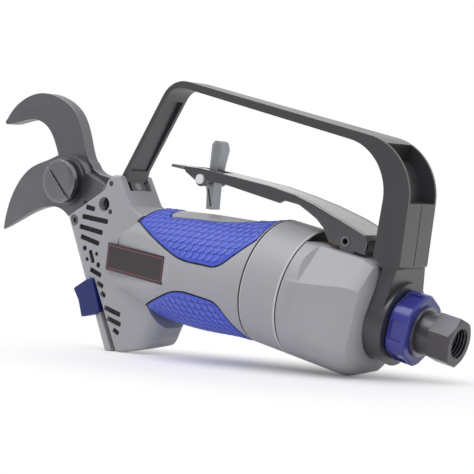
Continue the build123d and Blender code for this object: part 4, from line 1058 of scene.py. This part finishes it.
world = bpy.data.worlds.new("white_tent")
bpy.context.scene.world = world
world.use_nodes = True
tent = world.node_tree
tent_where = place(tent, "ShaderNodeTexCoord")
tent_rays = place(tent, "ShaderNodeLightPath")
tent_split = place(tent, "ShaderNodeSeparateXYZ")
tent.links.new(tent_where.outputs["Generated"], tent_split.inputs[0])
tent_light = place(
    tent,
    "ShaderNodeMapRange",
    from_min=tent_heights[0],
    from_max=tent_heights[1],
    to_min=tent_low,
    to_max=tent_high,
)
tent.links.new(tent_split.outputs["Z"], tent_light.inputs["Value"])
tent_side = place(tent, "ShaderNodeVectorMath", operation="DOT_PRODUCT")
tent_side.inputs[1].default_value = room_side
tent.links.new(tent_where.outputs["Generated"], tent_side.inputs[0])
tent_mirror = place(
    tent,
    "ShaderNodeMapRange",
    from_min=mirror_sides[0],
    from_max=mirror_sides[1],
    to_min=mirror_high,
    to_max=mirror_low,
)
tent.links.new(tent_side.outputs["Value"], tent_mirror.inputs["Value"])
tent_glossy = place(tent, "ShaderNodeMix")
tent.links.new(tent_rays.outputs["Is Glossy Ray"], tent_glossy.inputs["Factor"])
tent.links.new(tent_light.outputs["Result"], tent_glossy.inputs["A"])
tent.links.new(tent_mirror.outputs["Result"], tent_glossy.inputs["B"])
tent_strength = place(tent, "ShaderNodeMath", operation="MAXIMUM")
tent.links.new(tent_rays.outputs["Is Camera Ray"], tent_strength.inputs[0])
tent.links.new(tent_glossy.outputs["Result"], tent_strength.inputs[1])
tent.nodes["Background"].inputs["Color"].default_value = white
tent.links.new(tent_strength.outputs[0], tent.nodes["Background"].inputs["Strength"])

bpy.ops.object.light_add(type="SUN", location=(0, 0, 1))
lamp = bpy.context.active_object
lamp.data.energy = lamp_level
lamp.data.angle = lamp_width
lamp.rotation_euler = lamp_tilt

# Camera: near the tool's own height, to the right of its near side, as in the photograph.
# Its place, heading and lens were fitted to the outline of the tool there.
camera_place = (0.36697, -0.45997, 0.07098)
camera_heading = math.radians(36.99)
camera_pitch = math.radians(-1.30)
camera_roll = math.radians(0.68)
camera_lens = 93.72
camera_sensor = 36.0
camera_nearest = 0.01

camera_data = bpy.data.cameras.new("camera")
camera = bpy.data.objects.new("camera", camera_data)
bpy.context.scene.collection.objects.link(camera)
camera_data.sensor_width = camera_sensor
camera_data.lens = camera_lens
camera_data.clip_start = camera_nearest
camera.rotation_mode = "XYZ"
turn = Matrix.Rotation(camera_heading, 4, "Z") @ Matrix.Rotation(math.pi / 2 + camera_pitch, 4, "X")
camera.matrix_world = Matrix.Translation(camera_place) @ turn @ Matrix.Rotation(camera_roll, 4, "Z")
bpy.context.scene.camera = camera

bpy.context.scene.view_settings.view_transform = "Standard"
